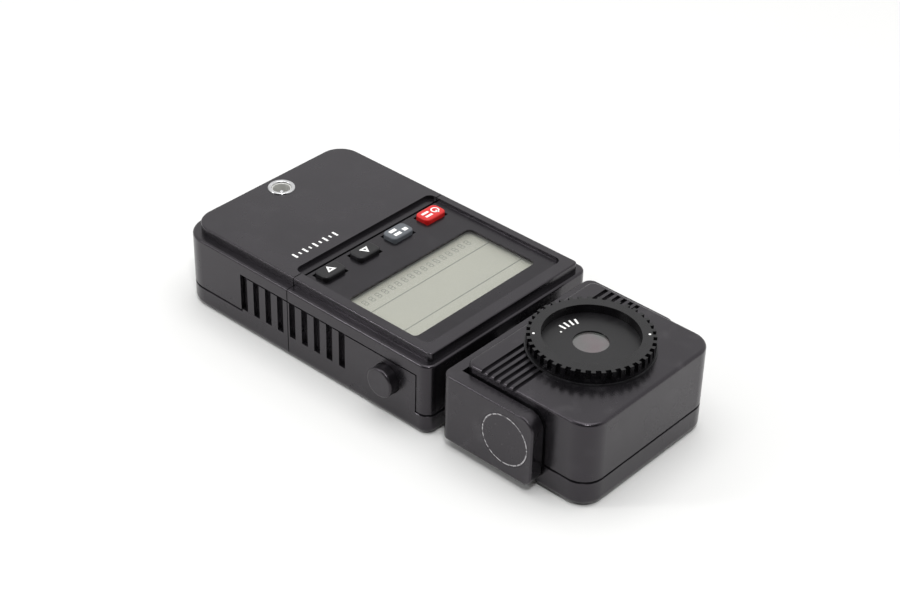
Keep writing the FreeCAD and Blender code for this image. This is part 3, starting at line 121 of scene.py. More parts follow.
def add(tree, kind, inputs=None, **settings):
    """Add a shader node; an input's value is a number, a colour or another node's output."""
    made = tree.nodes.new("ShaderNode" + kind)
    for name, value in settings.items():
        setattr(made, name, value)
    for name, value in (inputs or {}).items():
        if isinstance(value, bpy.types.NodeSocket):
            tree.links.new(value, made.inputs[name])
        else:
            made.inputs[name].default_value = value
    return made


def new_material(name):
    """An empty material: the material, its tree and its object coordinates."""
    made = bpy.data.materials.new(name)
    made.use_nodes = True
    made.node_tree.nodes.clear()
    where = add(made.node_tree, "TexCoord").outputs["Object"]
    return made, made.node_tree, where


def finish_material(made, shader):
    """Connect a shader to the material's surface."""
    add(made.node_tree, "OutputMaterial", {"Surface": shader.outputs["BSDF"]})
    made.diffuse_color = shader.inputs["Base Color"].default_value
    return made


def rough_and_bumped(made, base, roughness, bump, rest):
    """Finish a material with a colour, a roughness ramp, a bump and the rest of its settings."""
    return finish_material(made, add(made.node_tree, "BsdfPrincipled", {
        "Base Color": base, "Roughness": roughness.outputs["Result"],
        "Normal": bump.outputs["Normal"], **rest,
    }))


# %% [markdown]
# ## Wear, dust and grain
#
# No real surface is one flat colour. Four things make up most finishes here: soft patches, a
# blend of two colours, a mask of the edges that hands polish, and a fine bump. Patch sizes and
# bump heights are in millimetres, and the pattern follows the piece when it moves.


# %% patches, blends, edges and grain
def spots(tree, where, size_mm, low=0.45, high=0.6, detail=4.0):
    """A soft-edged mask of patches about size_mm across."""
    noise = add(tree, "TexNoise", {"Vector": where, "Scale": 1 / (size_mm * MM), "Detail": detail})
    ramp = add(tree, "MapRange", {"Value": noise.outputs["Fac"], "From Min": low, "From Max": high})
    return ramp.outputs["Result"]


def times(tree, a, b):
    """Product of two values."""
    return add(tree, "Math", {0: a, 1: b}, operation="MULTIPLY").outputs[0]


def blend_colours(tree, factor, a, b):
    """Mix two colours by a factor; a colour mix keeps its own sockets at 0, 6, 7 and output 2."""
    mix = add(tree, "Mix", {0: factor, 6: a, 7: b}, data_type="RGBA")
    return mix.outputs[2]


def edge_mask(tree, radius_mm, low=0.02, high=0.12):
    """Where the surface turns sharply within radius_mm, which is where handling polishes it."""
    soft = add(tree, "Bevel", {"Radius": radius_mm * MM}, samples=4)
    plain = add(tree, "NewGeometry")
    normals = {0: soft.outputs["Normal"], 1: plain.outputs["Normal"]}
    dot = add(tree, "VectorMath", normals, operation="DOT_PRODUCT")
    away = add(tree, "Math", {0: 1.0, 1: dot.outputs["Value"]}, operation="SUBTRACT")
    ramp = add(tree, "MapRange", {"Value": away.outputs[0], "From Min": low, "From Max": high})
    return ramp.outputs["Result"]


def grain_bump(tree, where, size_mm, height_mm, strength=1.0):
    """Bump from a fine random grain, as left by a spark-eroded mould."""
    noise = add(tree, "TexNoise", {"Vector": where, "Scale": 1 / (size_mm * MM), "Detail": 2.0})
    return add(
        tree, "Bump", {"Height": noise.outputs["Fac"], "Distance": height_mm * MM, "Strength": strength},
    )


# %% [markdown]
# ## Masks that follow the shape
#
# Some marks belong to a place: a ring on a cap, a dot on a rim, painted shade along a seam. Their masks
# are worked out from a distance or a height, and the places come from the frame's own boxes.

# %% masks by distance and height
SOFT_SHARE = 0.4        # of a band's half width that is solid; the rest fades out
DOT_SOLID = 0.85        # of a dot's radius that is solid


def middle(name):
    """The middle of a piece's box."""
    low, high = (Vector(c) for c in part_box(name))
    return (low + high) / 2


def upward(tree, vector):
    """The Z part of a vector."""
    return add(tree, "SeparateXYZ", {"Vector": vector}).outputs["Z"]


def distance_from_line(tree, where, centre, keep):
    """Distance from a line through centre; keep has a 1 for each axis across the line."""
    moved = add(tree, "VectorMath", {0: where, 1: centre}, operation="SUBTRACT")
    across = add(tree, "VectorMath", {0: moved.outputs["Vector"], 1: keep}, operation="MULTIPLY")
    return add(tree, "VectorMath", {0: across.outputs["Vector"]}, operation="LENGTH").outputs["Value"]


def band(tree, value, middle_mm, half_mm):
    """A mask that is 1 where a distance is close to middle_mm."""
    off = add(tree, "Math", {0: value, 1: middle_mm * MM}, operation="SUBTRACT")
    size = add(tree, "Math", {0: off.outputs[0]}, operation="ABSOLUTE")
    ramp = add(tree, "MapRange", {
        "Value": size.outputs[0], "From Min": half_mm * MM, "From Max": half_mm * SOFT_SHARE * MM,
    })
    return ramp.outputs["Result"]


def disc_mask(tree, where, centre, radius_mm):
    """A mask that is 1 within a small circle, seen from above."""
    away = distance_from_line(tree, where, centre, (1, 1, 0))
    ramp = add(tree, "MapRange", {
        "Value": away, "From Min": radius_mm * MM, "From Max": radius_mm * DOT_SOLID * MM,
    })
    return ramp.outputs["Result"]


# %% [markdown]
# ## Moulded ABS, the case
#
# The shells are injection-moulded ABS. The mould was spark eroded, so the face has a fine even
# grain that blurs every reflection, and years of handling have polished the edges smooth and left
# faint dusty patches. ABS has an index of refraction of about 1.53. The grain is drawn at 0.35 mm,
# a little coarser than the real 0.1 mm, so that it still shows from half a metre away. The small
# bevels along the seams have their reflection turned off, a painted shade for the dark groove, and
# the sunk floor round the keys was moulded more matt than the rest of the case.

# %% seam and floor masks
CASE_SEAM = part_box("front_cover")[0][2] / MM
HEAD_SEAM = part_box("head_front_shell")[0][2] / MM
SUNK_DEPTH = 1.1
SUNK_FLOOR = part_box("lower_front_cover")[1][2] / MM - SUNK_DEPTH
TILTED = (0.2, 0.4)          # upward share of a normal at which a bevel starts and fully counts
FLAT = (0.8, 0.95)           # the same for a face that looks straight up


def facing_mask(tree, share, limits):
    """A mask that rises from 0 to 1 between two upward shares of the normal."""
    ramp = add(tree, "MapRange", {"Value": share, "From Min": limits[0], "From Max": limits[1]})
    return ramp.outputs["Result"]


def normal_share(tree):
    """The upward share of the true normal."""
    return upward(tree, add(tree, "NewGeometry").outputs["True Normal"])


def seam_shade_mask(tree, where, seam_mm, half_mm=0.5):
    """Where the bevels along a seam face up or down: the mask of the painted seam shade."""
    tilt = add(tree, "Math", {0: normal_share(tree)}, operation="ABSOLUTE").outputs[0]
    near_seam = band(tree, upward(tree, where), seam_mm, half_mm)
    return times(tree, near_seam, facing_mask(tree, tilt, TILTED))


def level_mask(tree, where, height_mm, half_mm=0.4):
    """Faces that look straight up at one height."""
    at_height = band(tree, upward(tree, where), height_mm, half_mm)
    return times(tree, at_height, facing_mask(tree, normal_share(tree), FLAT))


print("seams and sunk floor in mm:", round(CASE_SEAM, 2), round(HEAD_SEAM, 2), round(SUNK_FLOOR, 2))

# %% [markdown]
# ### The plastic itself
#
# One function makes every ABS finish. It mixes a mottled black, a little dust and the greyer worn
# edges, and polishes those edges. The bracket and the head have picked up more dust.

# %% moulded plastics
SKIN_TINT = "#FBF2FD"        # the dye makes reflections very slightly violet
ABS_IOR = 1.53
ABS_GRAIN = 0.35
MOTTLE, GRIME = 14, 5        # sizes of the patches
POLISHED = 0.1               # roughness of a handled edge
FLOOR_GLOSS = 0.66           # of the full gloss that the sunk floor keeps


def moulded_abs(name, seam_mm, face="#0D0C0E", worn="#232225", dust="#8C8A8C", dusty=0.25, rough=0.22,
                matt_level_mm=None):
    """Black ABS with a painted shade on its seam at one height and, if wanted, a more matt floor at
    another.
    """
    made, tree, where = new_material(name)
    seam_shade = seam_shade_mask(tree, where, seam_mm)
    broad = spots(tree, where, MOTTLE, 0.35, 0.7)
    grime = times(tree, spots(tree, where, GRIME, 0.55, 0.75), dusty)
    edges = edge_mask(tree, 0.5)
    base = blend_colours(tree, times(tree, broad, 0.3), colour(face), colour(worn))
    base = blend_colours(tree, times(tree, grime, 0.06), base, colour(dust))
    base = blend_colours(tree, times(tree, edges, 0.4), base, colour(worn))
    roughness = add(tree, "MapRange", {"Value": edges, "To Min": rough, "To Max": POLISHED})
    # painted shade: the seam's bevels lose their reflection, so the seam reads as a dark groove
    shine_with_seam_shade = add(tree, "MapRange", {"Value": seam_shade, "To Min": 0.5, "To Max": 0.0}).outputs["Result"]
    if matt_level_mm:
        sunk = level_mask(tree, where, matt_level_mm)
        dulled = add(tree, "MapRange", {"Value": sunk, "To Min": 1.0, "To Max": FLOOR_GLOSS})
        shine_with_seam_shade = times(tree, shine_with_seam_shade, dulled.outputs["Result"])
    mottled = times(tree, broad, 0.08)
    uneven = add(tree, "Math", {0: roughness.outputs["Result"], 1: mottled}, operation="ADD")
    bump = grain_bump(tree, where, ABS_GRAIN, 0.006, 0.5)
    shader = add(tree, "BsdfPrincipled", {
        "Base Color": base, "Roughness": uneven.outputs[0], "Normal": bump.outputs["Normal"],
        "IOR": ABS_IOR, "Specular Tint": colour(SKIN_TINT), "Specular IOR Level": shine_with_seam_shade,
    })
    return finish_material(made, shader)


case_abs = moulded_abs("moulded_abs_black", CASE_SEAM, matt_level_mm=SUNK_FLOOR)
bracket_abs = moulded_abs("moulded_abs_bracket", HEAD_SEAM, dusty=0.9, rough=0.24)
head_abs = moulded_abs("moulded_abs_head", HEAD_SEAM, dusty=0.8, rough=0.22)
print("plastics:", case_abs.name, bracket_abs.name, head_abs.name)

# %% [markdown]
# ## Silicone rubber, the keys
#
# Keypad keys are moulded silicone with a satin lacquer. It is softer-looking than ABS: a low,
# wide highlight and hardly any grain. The wear is a slightly greyer crown where fingers press.


# %% key rubber
def silicone(name, face, crown, rough=0.42):
    made, tree, where = new_material(name)
    mottled = spots(tree, where, 2.5, 0.35, 0.7)
    worn = times(tree, edge_mask(tree, 0.5), 0.6)
    base = blend_colours(tree, times(tree, mottled, 0.3), colour(face), colour(crown))
    base = blend_colours(tree, worn, base, colour(crown))
    bump = grain_bump(tree, where, 0.3, 0.008, 0.4)
    roughness = add(tree, "MapRange", {"Value": mottled, "To Min": rough, "To Max": rough + 0.1})
    return rough_and_bumped(made, base, roughness, bump, {"IOR": 1.43})


key_black = silicone("silicone_black", "#0E0D0F", "#201F21")
key_grey = silicone("silicone_grey", "#565A5F", "#6A6E73")
key_red = silicone("silicone_red", "#C4191A", "#D8302C", 0.34)
mat_rubber = silicone("silicone_mat", "#4A4A4C", "#5C5C5E")

# %% [markdown]
# ## The receptor's axis and index dots
#
# The receptor turns about its ring's middle, so all its marks are placed by an angle and a radius
# from there. Two white index dots sit on the ring, across from each other.

# %% the receptor's axis and index dots
receptor = middle("receptor_ring")
DOT_CIRCLE = 14.3
DOT_RADIUS = 0.36
DOT_ANGLES = (-47, 133)


def around(radius, degrees, height):
    """A point on a circle about the receptor's axis; radius and height in mm."""
    angle = math.radians(degrees)
    along = Vector((math.cos(angle), math.sin(angle), 0)) * radius * MM
    return Vector((receptor.x, receptor.y, height * MM)) + along


print("receptor axis in mm:", round(receptor.x / MM, 2), round(receptor.y / MM, 2))

# %% [markdown]
# ## Metals
#
# The flash socket is nickel-plated and turned, and screws, springs and shaft are zinc-plated
# steel. The tripod bush is brass, the hidden rings are blackened steel, and the receptor's ring
# and disc are aluminium with a black anodised skin. Turning leaves fine concentric lines.
# Anodising is smooth and very dark, and wears grey on its corners. The index dots are painted on
# the ring, so they are a part of its finish.

# %% metals
RINGS_PER_UNIT = 20          # what the wave texture draws at a scale of 1
LINE_DEPTH = 0.003


def turned_metal(name, face, dull, rough=0.25, line_mm=0.25):
    made, tree, where = new_material(name)
    lines = add(tree, "TexWave", {
        "Vector": where, "Scale": 1 / (line_mm * MM) / RINGS_PER_UNIT, "Distortion": 0.4, "Detail": 1.0,
    }, wave_type="RINGS", rings_direction="Z")
    stains = spots(tree, where, 3, 0.4, 0.7)
    base = blend_colours(tree, times(tree, stains, 0.6), colour(face), colour(dull))
    roughness = add(tree, "MapRange", {"Value": stains, "To Min": rough, "To Max": rough + 0.15})
    bump = add(tree, "Bump", {"Height": lines.outputs["Fac"], "Distance": LINE_DEPTH * MM, "Strength": 0.5})
    return rough_and_bumped(made, base, roughness, bump, {"Metallic": 1.0})


def anodised(name, face, worn, rough, dots=()):
    made, tree, where = new_material(name)
    cloudy = spots(tree, where, 4, 0.35, 0.7)
    edges = times(tree, edge_mask(tree, 0.25), spots(tree, where, 0.9, 0.45, 0.65))
    base = blend_colours(tree, times(tree, cloudy, 0.2), colour(face), colour(worn))
    base = blend_colours(tree, times(tree, edges, 0.5), base, colour(worn))
    for dot in dots:
        base = blend_colours(tree, disc_mask(tree, where, dot, DOT_RADIUS), base, colour("#F2F2F0"))
    bump = grain_bump(tree, where, 0.2, 0.006, 0.4)
    roughness = add(tree, "MapRange", {"Value": cloudy, "To Min": rough, "To Max": rough + 0.08})
    return rough_and_bumped(made, base, roughness, bump, {"IOR": 1.45})


nickel = turned_metal("nickel_plated_steel", "#D9D9DA", "#A9A9AB", 0.22)
zinc_steel = turned_metal("zinc_plated_steel", "#B9BBC0", "#85878C", 0.3)
brass = turned_metal("turned_brass", "#C9A765", "#8F7440", 0.3)
ring_metal = anodised("anodised_aluminium_ring", "#070608", "#1E1D20", 0.24, [
    around(DOT_CIRCLE, a, 0) for a in DOT_ANGLES
])
disc_metal = anodised("anodised_aluminium_disc", "#0B0A0C", "#1E1D20", 0.34)
black_metal = anodised("blackened_steel", "#111012", "#343337", 0.4)

# %% [markdown]
# ## Glass, display and print
#
# The display is a reflective liquid-crystal cell: a grey-green silvered sheet behind glass, so it
# is pale even when switched off. The window over it is clear acrylic. A thin clear sheet is drawn
# as a mostly see-through surface with its own gloss, which lets the soft light through to the
# display as the real sheet does. The receptor's lens is coated glass: grey, with faint green and
# rose patches painted into its colour, a painted reflection of the studio in the coating.


# %% glass, display and print
def clear_sheet(name, alpha=0.07):
    made, tree, where = new_material(name)
    smears = spots(tree, where, 6, 0.4, 0.75)
    roughness = add(tree, "MapRange", {"Value": smears, "To Min": 0.03, "To Max": 0.1})
    shader = add(tree, "BsdfPrincipled", {
        "Base Color": colour("#E6E8E4"), "Roughness": roughness.outputs["Result"],
        "Alpha": alpha, "IOR": 1.49,
    })
    return finish_material(made, shader)


def display_sheet(name):
    made, tree, where = new_material(name)
    fine = add(tree, "TexNoise", {"Vector": where, "Scale": 1 / (0.2 * MM), "Detail": 2.0})
    broad = spots(tree, where, 18, 0.3, 0.75)
    base = blend_colours(tree, times(tree, broad, 0.5), colour("#969689"), colour("#8E8F84"))
    base = blend_colours(tree, times(tree, fine.outputs["Fac"], 0.12), base, colour("#85867B"))
    shader = add(tree, "BsdfPrincipled", {"Base Color": base, "Roughness": 0.4, "IOR": 1.5})
    return finish_material(made, shader)


def coated_glass(name):
    made, tree, where = new_material(name)
    # painted reflection: green and rose patches stand in for the coating's reflection of the studio
    coating_reflection = spots(tree, where, 7, 0.35, 0.65, 0.0)
    haze = spots(tree, where, 2.5, 0.3, 0.7)
    base = blend_colours(tree, coating_reflection, colour("#3F4A45"), colour("#55494C"))
    base = blend_colours(tree, times(tree, haze, 0.4), base, colour("#5C5C5C"))
    shader = add(tree, "BsdfPrincipled", {
        "Base Color": base, "Roughness": 0.12, "IOR": 1.6, "Coat Weight": 0.6, "Coat Roughness": 0.05,
    })
    return finish_material(made, shader)


def print_ink(name, ink, thin, rough=0.55):
    """Screen-printed ink: a little uneven, so that the ground shows through in places."""
    made, tree, where = new_material(name)
    patchy = spots(tree, where, 0.6, 0.45, 0.75)
    base = blend_colours(tree, times(tree, patchy, 0.5), colour(ink), colour(thin))
    shader = add(tree, "BsdfPrincipled", {"Base Color": base, "Roughness": rough})
    return finish_material(made, shader)


window_acrylic = clear_sheet("clear_acrylic")
display_glass = display_sheet("liquid_crystal_sheet")
lens_glass = coated_glass("coated_lens_glass")
white_ink = print_ink("white_print", "#F2F2F0", "#C9C9C7")
grey_ink = print_ink("display_segment_grey", "#5C5D55", "#696A61")
line_ink = print_ink("display_line_grey", "#56574F", "#626359")
battery_skin = print_ink("printed_cell_sleeve", "#6F7276", "#5E6165", 0.35)

# %% [markdown]
# ## Hidden pieces
#
# The circuit boards, the holder and the cell are inside the case. They still get the finish of
# the real thing, because the case can be opened in another scene: green solder mask with its
# copper tracks faintly raised, and a pale moulded carrier.


# %% circuit board
def circuit_board(name):
    made, tree, where = new_material(name)
    tracks = add(tree, "TexBrick", {
        "Vector": where, "Scale": 1 / (4 * MM), "Mortar Size": 0.08, "Mortar Smooth": 0.2,
        "Color1": colour("#0E4A2C"), "Color2": colour("#0C4026"), "Mortar": colour("#2C7A4C"),
    })
    bump = add(tree, "Bump", {"Height": tracks.outputs["Fac"], "Distance": 0.03 * MM, "Strength": 0.5})
    shader = add(tree, "BsdfPrincipled", {
        "Base Color": tracks.outputs["Color"], "Roughness": 0.35, "Normal": bump.outputs["Normal"],
    })
    return finish_material(made, shader)


board_green = circuit_board("solder_mask_green")
pale_plastic = moulded_abs("moulded_abs_pale", CASE_SEAM, "#C2C2BD", "#D8D8D4", "#A8A8A2")
lead_skin = silicone("pvc_lead_black", "#1A1A1B", "#2B2B2C")

# %% [markdown]
# ## Which piece has which finish
#
# These pieces keep the exact shape that the frame gives them and only get a finish.

# %% finishes of the pieces that keep their shape
FINISHES = {
    case_abs: ["front_cover", "lower_front_cover", "rear_cover", "battery_door"],
    head_abs: ["head_front_shell", "head_rear_shell"],
    bracket_abs: ["head_bracket"],
    key_black: ["up_key", "down_key"],
    key_grey: ["mode_key"],
    key_red: ["power_key"],
    mat_rubber: ["key_mat"],
    nickel: ["sync_terminal_ring", "sync_terminal_pin"],
    zinc_steel: [
        "battery_spring", "battery_spring_plate", "battery_contact", "case_screws", "head_screws",
        "arm_screws", "neck_shaft", "shaft_clip", "friction_washer", "button_spring",
    ],
    brass: ["tripod_bush"],
    black_metal: ["neck_collar", "button_switch", "bayonet_seat", "lens_retainer"],
    ring_metal: ["receptor_ring"],
    disc_metal: ["receptor_disc"],
    lens_glass: ["receptor_lens", "photocell", "filter_glass"],
    display_glass: ["lcd_panel"],
    board_green: ["main_board", "sensor_board"],
    pale_plastic: ["lcd_frame", "sync_terminal_insulator", "cell_holder"],
    battery_skin: ["battery_cell"],
    lead_skin: ["head_lead"],
}
for finish, names in FINISHES.items():
    for name in names:
        slots = nodes[name].data.materials
        slots.clear()
        slots.append(finish)
print("finished pieces:", sum(len(names) for names in FINISHES.values()))

# %% [markdown]
# ## The measuring button and the round arm caps
#
# The button is a harder, glossier plastic than the case, rubbed by the thumb in its middle. The
# caps on the bracket's arms are pressed discs. Their joint has collected pale dirt and the rim is
# scuffed, so a thin broken circle shows. The circle follows the distance from the cap's own
# centre, which comes from the cap's box.


# %% button and cap finishes
RUB_RADIUS, RUB_CORE = 3.6, 1.0
SCUFF_CIRCLE, SCUFF_HALF = 7.0, 0.22
HARD_ABS = {"IOR": ABS_IOR, "Specular Tint": colour(SKIN_TINT)}


def worn_button(name):
    made, tree, where = new_material(name)
    far_from_middle = distance_from_line(tree, where, middle("measuring_button"), (0, 1, 1))
    rubbed = add(tree, "MapRange", {
        "Value": far_from_middle, "From Min": RUB_RADIUS * MM, "From Max": RUB_CORE * MM,
    }).outputs["Result"]
    rubbed = times(tree, rubbed, spots(tree, where, 2, 0.3, 0.65))
    base = blend_colours(tree, times(tree, rubbed, 0.6), colour("#0E0D0F"), colour("#2B2A2D"))
    roughness = add(tree, "MapRange", {"Value": rubbed, "To Min": 0.3, "To Max": 0.42})
    bump = grain_bump(tree, where, 0.3, 0.006, 0.4)
    return rough_and_bumped(made, base, roughness, bump, HARD_ABS)


def scuffed_cap(name):
    made, tree, where = new_material(name)
    from_middle = distance_from_line(tree, where, middle("arm_caps"), (0, 1, 1))
    broken = spots(tree, where, 1.1, 0.38, 0.52)
    ring = times(tree, band(tree, from_middle, SCUFF_CIRCLE, SCUFF_HALF), broken)
    specks = times(tree, spots(tree, where, 0.7, 0.7, 0.76), 0.5)
    grime = spots(tree, where, 4, 0.4, 0.75)
    base = blend_colours(tree, times(tree, grime, 0.25), colour("#0D0C0E"), colour("#1B1A1D"))
    base = blend_colours(tree, specks, base, colour("#7C7A7D"))
    base = blend_colours(tree, times(tree, ring, 0.85), base, colour("#B9B7B9"))
    roughness = add(tree, "MapRange", {"Value": grime, "To Min": 0.24, "To Max": 0.3})
    bump = grain_bump(tree, where, 0.35, 0.012, 0.5)
    return rough_and_bumped(made, base, roughness, bump, HARD_ABS)


for name, finish in (("measuring_button", worn_button("rubbed_abs_button")),
                     ("arm_caps", scuffed_cap("scuffed_abs_cap"))):
    nodes[name].data.materials.clear()
    nodes[name].data.materials.append(finish)
print("cap centre in mm:", [round(v / MM, 2) for v in middle("arm_caps")])

# %% [markdown]
# ## Making pieces from outlines
#
# A printed mark is a very thin flat solid on the surface. It is easiest to make from an outline:
# the outline is one face, and the same face lowered by the ink's thickness closes it. A mark with
# a hole, such as a hollow triangle, is a band between an outer and an inner outline.


# %% outline solids
def keep_piece(name, mesh, finish):
    """Put a finished mesh in the scene as a piece with one finish."""
    piece = bpy.data.objects.new(name, mesh)
    mesh.materials.clear()
    mesh.materials.append(finish)
    bpy.context.collection.objects.link(piece)
    return piece


def slab(bm, outer, inner, low, high):
    """Add a flat solid between two heights: outer is its outline, inner an optional hole."""
    loops = [outer] + ([inner] if inner else [])
    top = [[bm.verts.new((x * MM, y * MM, high * MM)) for x, y in loop] for loop in loops]
    base = [[bm.verts.new((x * MM, y * MM, low * MM)) for x, y in loop] for loop in loops]
    count = len(outer)
    if inner:
        for i in range(count):
            j = (i + 1) % count
            bm.faces.new((top[0][i], top[0][j], top[1][j], top[1][i]))
            bm.faces.new((base[0][j], base[0][i], base[1][i], base[1][j]))
    else:
        bm.faces.new(top[0])
        bm.faces.new(list(reversed(base[0])))
    for level, (upper, lower) in enumerate(zip(top, base)):
        for i in range(count):
            j = (i + 1) % count
            ring = (lower[i], lower[j], upper[j], upper[i])
            bm.faces.new(ring if level == 0 else tuple(reversed(ring)))


def flat_mesh(name, shapes, low, high):
    """A mesh of flat shapes, each (outline, hole or None), between two heights."""
    bm = bmesh.new()
    for outer, inner in shapes:
        slab(bm, outer, inner, low, high)
    bmesh.ops.recalc_face_normals(bm, faces=bm.faces)
    mesh = bpy.data.meshes.new(name)
    bm.to_mesh(mesh)
    bm.free()
    return mesh


def marks(name, shapes, low, high, finish, body):
    """One printed piece made of several flat shapes, riding on a body."""
    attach(keep_piece(name, flat_mesh(name, shapes, low, high), finish), body)


def rectangle(x, y, width, height):
    """The outline of a rectangle round a middle."""
    corners = ((-1, -1), (1, -1), (1, 1), (-1, 1))
    return [(x + a * width / 2, y + b * height / 2) for a, b in corners]


def polygon(x, y, radius, corners, start=0.0):
    """The outline of a regular polygon; start is the first corner's angle."""
    angles = [start + math.tau * i / corners for i in range(corners)]
    return [(x + radius * math.cos(a), y + radius * math.sin(a)) for a in angles]


# %% [markdown]
# ## Marks on the keys
#
# Two keys carry a hollow triangle that points up or down the scale, one carries three plain boxes
# and the red one a power symbol with two bars. They are printed in white and read from the
# battery end. The ink reaches a little into the key, so that no gap shows under it.

# %% key marks
INK = 0.03              # height of the ink above its ground
ROOT = 0.005            # how far it reaches into the ground
TRIANGLE, TRIANGLE_HOLE = 1.65, 0.6
MODE_BOXES = ((-1.9, 0.7, 1.5, 1.3), (1.2, 1.0, 2.4, 1.1), (1.2, -0.9, 2.4, 1.1))
POWER_X, POWER_RING, POWER_HOLE = -1.7, 1.25, 0.85
POWER_BARS = ((POWER_X, 0.9, 0.42, 1.3), (1.5, 0.85, 2.5, 0.75), (1.5, -0.7, 2.5, 0.75))


def key_place(name):
    """Centre and top of a key, in mm."""
    low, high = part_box(name)
    return (low[0] + high[0]) / 2 / MM, (low[1] + high[1]) / 2 / MM, high[2] / MM


def key_marks(key, shapes):
    """Print shapes, given from the key's centre, on top of a key."""
    x, y, top = key_place(key)

    def moved(outline):
        return [(x + a, y + b) for a, b in outline] if outline else None

    placed = [(moved(outer), moved(inner)) for outer, inner in shapes]
    marks(key + "_mark", placed, top - ROOT, top + INK, white_ink, key)


for key, points_to in (("up_key", math.pi / 2), ("down_key", -math.pi / 2)):
    triangle = [polygon(0, 0, radius, 3, points_to) for radius in (TRIANGLE, TRIANGLE_HOLE)]
    key_marks(key, [triangle])
key_marks("mode_key", [(rectangle(*box), None) for box in MODE_BOXES])
power_ring = [polygon(POWER_X, 0, radius, 24) for radius in (POWER_RING, POWER_HOLE)]
key_marks("power_key", [power_ring] + [(rectangle(*bar), None) for bar in POWER_BARS])
print("key tops in mm:", [round(key_place(key)[2], 2) for key in ("up_key", "mode_key", "power_key")])

# %% [markdown]
# ## Rows and arcs of marks, with Geometry Nodes
#
# A scale is one mark repeated. A small node tree takes the mark as an object, places copies along
# a straight row or round an arc, makes them real and gives them their finish. One tree serves the
# printed scale on the case, the display's faint digits, the disc's bars and the screws.


# %% node tree that repeats a mark
def repeat_tree():
    """Copies of an object at every point of the input mesh, turned by the point's own angle."""
    tree = bpy.data.node_groups.new("repeat_at_points", "GeometryNodeTree")
    for name, kind in (("Geometry", "Geometry"), ("Piece", "Object"), ("Finish", "Material")):
        tree.interface.new_socket(name=name, in_out="INPUT", socket_type="NodeSocket" + kind)
    tree.interface.new_socket(name="Geometry", in_out="OUTPUT", socket_type="NodeSocketGeometry")
    source = tree.nodes.new("NodeGroupInput")
    result = tree.nodes.new("NodeGroupOutput")
    info = tree.nodes.new("GeometryNodeObjectInfo")
    angle = tree.nodes.new("GeometryNodeInputNamedAttribute")
    angle.data_type = "FLOAT"
    angle.inputs["Name"].default_value = "turn"
    turn_xyz = tree.nodes.new("ShaderNodeCombineXYZ")
    place = tree.nodes.new("GeometryNodeInstanceOnPoints")
    real = tree.nodes.new("GeometryNodeRealizeInstances")
    paint = tree.nodes.new("GeometryNodeSetMaterial")
    for output, target in (
        (source.outputs["Geometry"], place.inputs["Points"]),
        (source.outputs["Piece"], info.inputs["Object"]),
        (info.outputs["Geometry"], place.inputs["Instance"]),
        (angle.outputs[0], turn_xyz.inputs["Z"]),
        (turn_xyz.outputs[0], place.inputs["Rotation"]),
        (place.outputs["Instances"], real.inputs["Geometry"]),
        (real.outputs["Geometry"], paint.inputs["Geometry"]),
        (source.outputs["Finish"], paint.inputs["Material"]),
        (paint.outputs["Geometry"], result.inputs["Geometry"]),
    ):
        tree.links.new(output, target)
    return tree


REPEAT = repeat_tree()
print("nodes in the tree:", len(REPEAT.nodes))

# %% [markdown]
# ### Using the tree
#
# The places go into a mesh of loose points that each carry their own turn. The tree is put on that
# mesh, and what it makes is kept as a plain mesh.


# %% repeat a mark at places
def baked_mesh(item, helper):
    """The mesh that an object's modifiers make; the object and its helper are then removed."""
    bpy.context.view_layer.update()
    graph = bpy.context.evaluated_depsgraph_get()
    mesh = bpy.data.meshes.new_from_object(item.evaluated_get(graph), depsgraph=graph)
    for used in (item, helper):
        bpy.data.objects.remove(used)
    return mesh


def repeated(name, mark_mesh, places, finish, body):
    """A plain mesh of copies of a mark at places, each (point in metres, turn in radians)."""
    dots = bpy.data.meshes.new(name + "_points")
    dots.from_pydata([tuple(point) for point, _ in places], [], [])
    turns = dots.attributes.new("turn", "FLOAT", "POINT")
    for value, (_, turn_z) in zip(turns.data, places):
        value.value = turn_z
    carrier = bpy.data.objects.new(name + "_points", dots)
    mark = bpy.data.objects.new(name + "_unit", mark_mesh)
    for item in (carrier, mark):
        bpy.context.collection.objects.link(item)
    modifier = carrier.modifiers.new("repeat", "NODES")
    modifier.node_group = REPEAT
    inputs = {s.name: s.identifier for s in REPEAT.interface.items_tree if s.in_out == "INPUT"}
    modifier[inputs["Piece"]] = mark
    modifier[inputs["Finish"]] = finish
    mesh = baked_mesh(carrier, mark)
    mesh.name = name
    piece = keep_piece(name, mesh, finish)
    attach(piece, body)
    return piece


# %% [markdown]
# ## The display
#
# Two thin printed lines split the display into rows, and its unlit digits show as a faint row of
# eights between the keys and the first line. The window is a thin acrylic pane that stands a hair
# above the display's glass, with its edge under the case.

# %% display lines, unlit digits and window
display_low, display_high = (Vector(c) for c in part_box("lcd_panel"))
window_low, window_high = (Vector(c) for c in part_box("display_window"))
FACE = display_high.z / MM
SKIN = 0.02             # top of the print above the display's face
LIFT = 0.005            # underside of the print above it
LINE_WIDTH, LINE_MARGIN = 0.3, 0.5
LINE_SHARES = (0.303, 0.747)
depth = (display_high.y - display_low.y) / MM
span_x = (display_high.x - display_low.x) / MM
centre_x = (display_high.x + display_low.x) / 2 / MM
marks("display_lines", [
    (rectangle(centre_x, display_low.y / MM + share * depth, span_x - 2 * LINE_MARGIN, LINE_WIDTH), None)
    for share in LINE_SHARES
], FACE + LIFT, FACE + SKIN, line_ink, "meter_body")

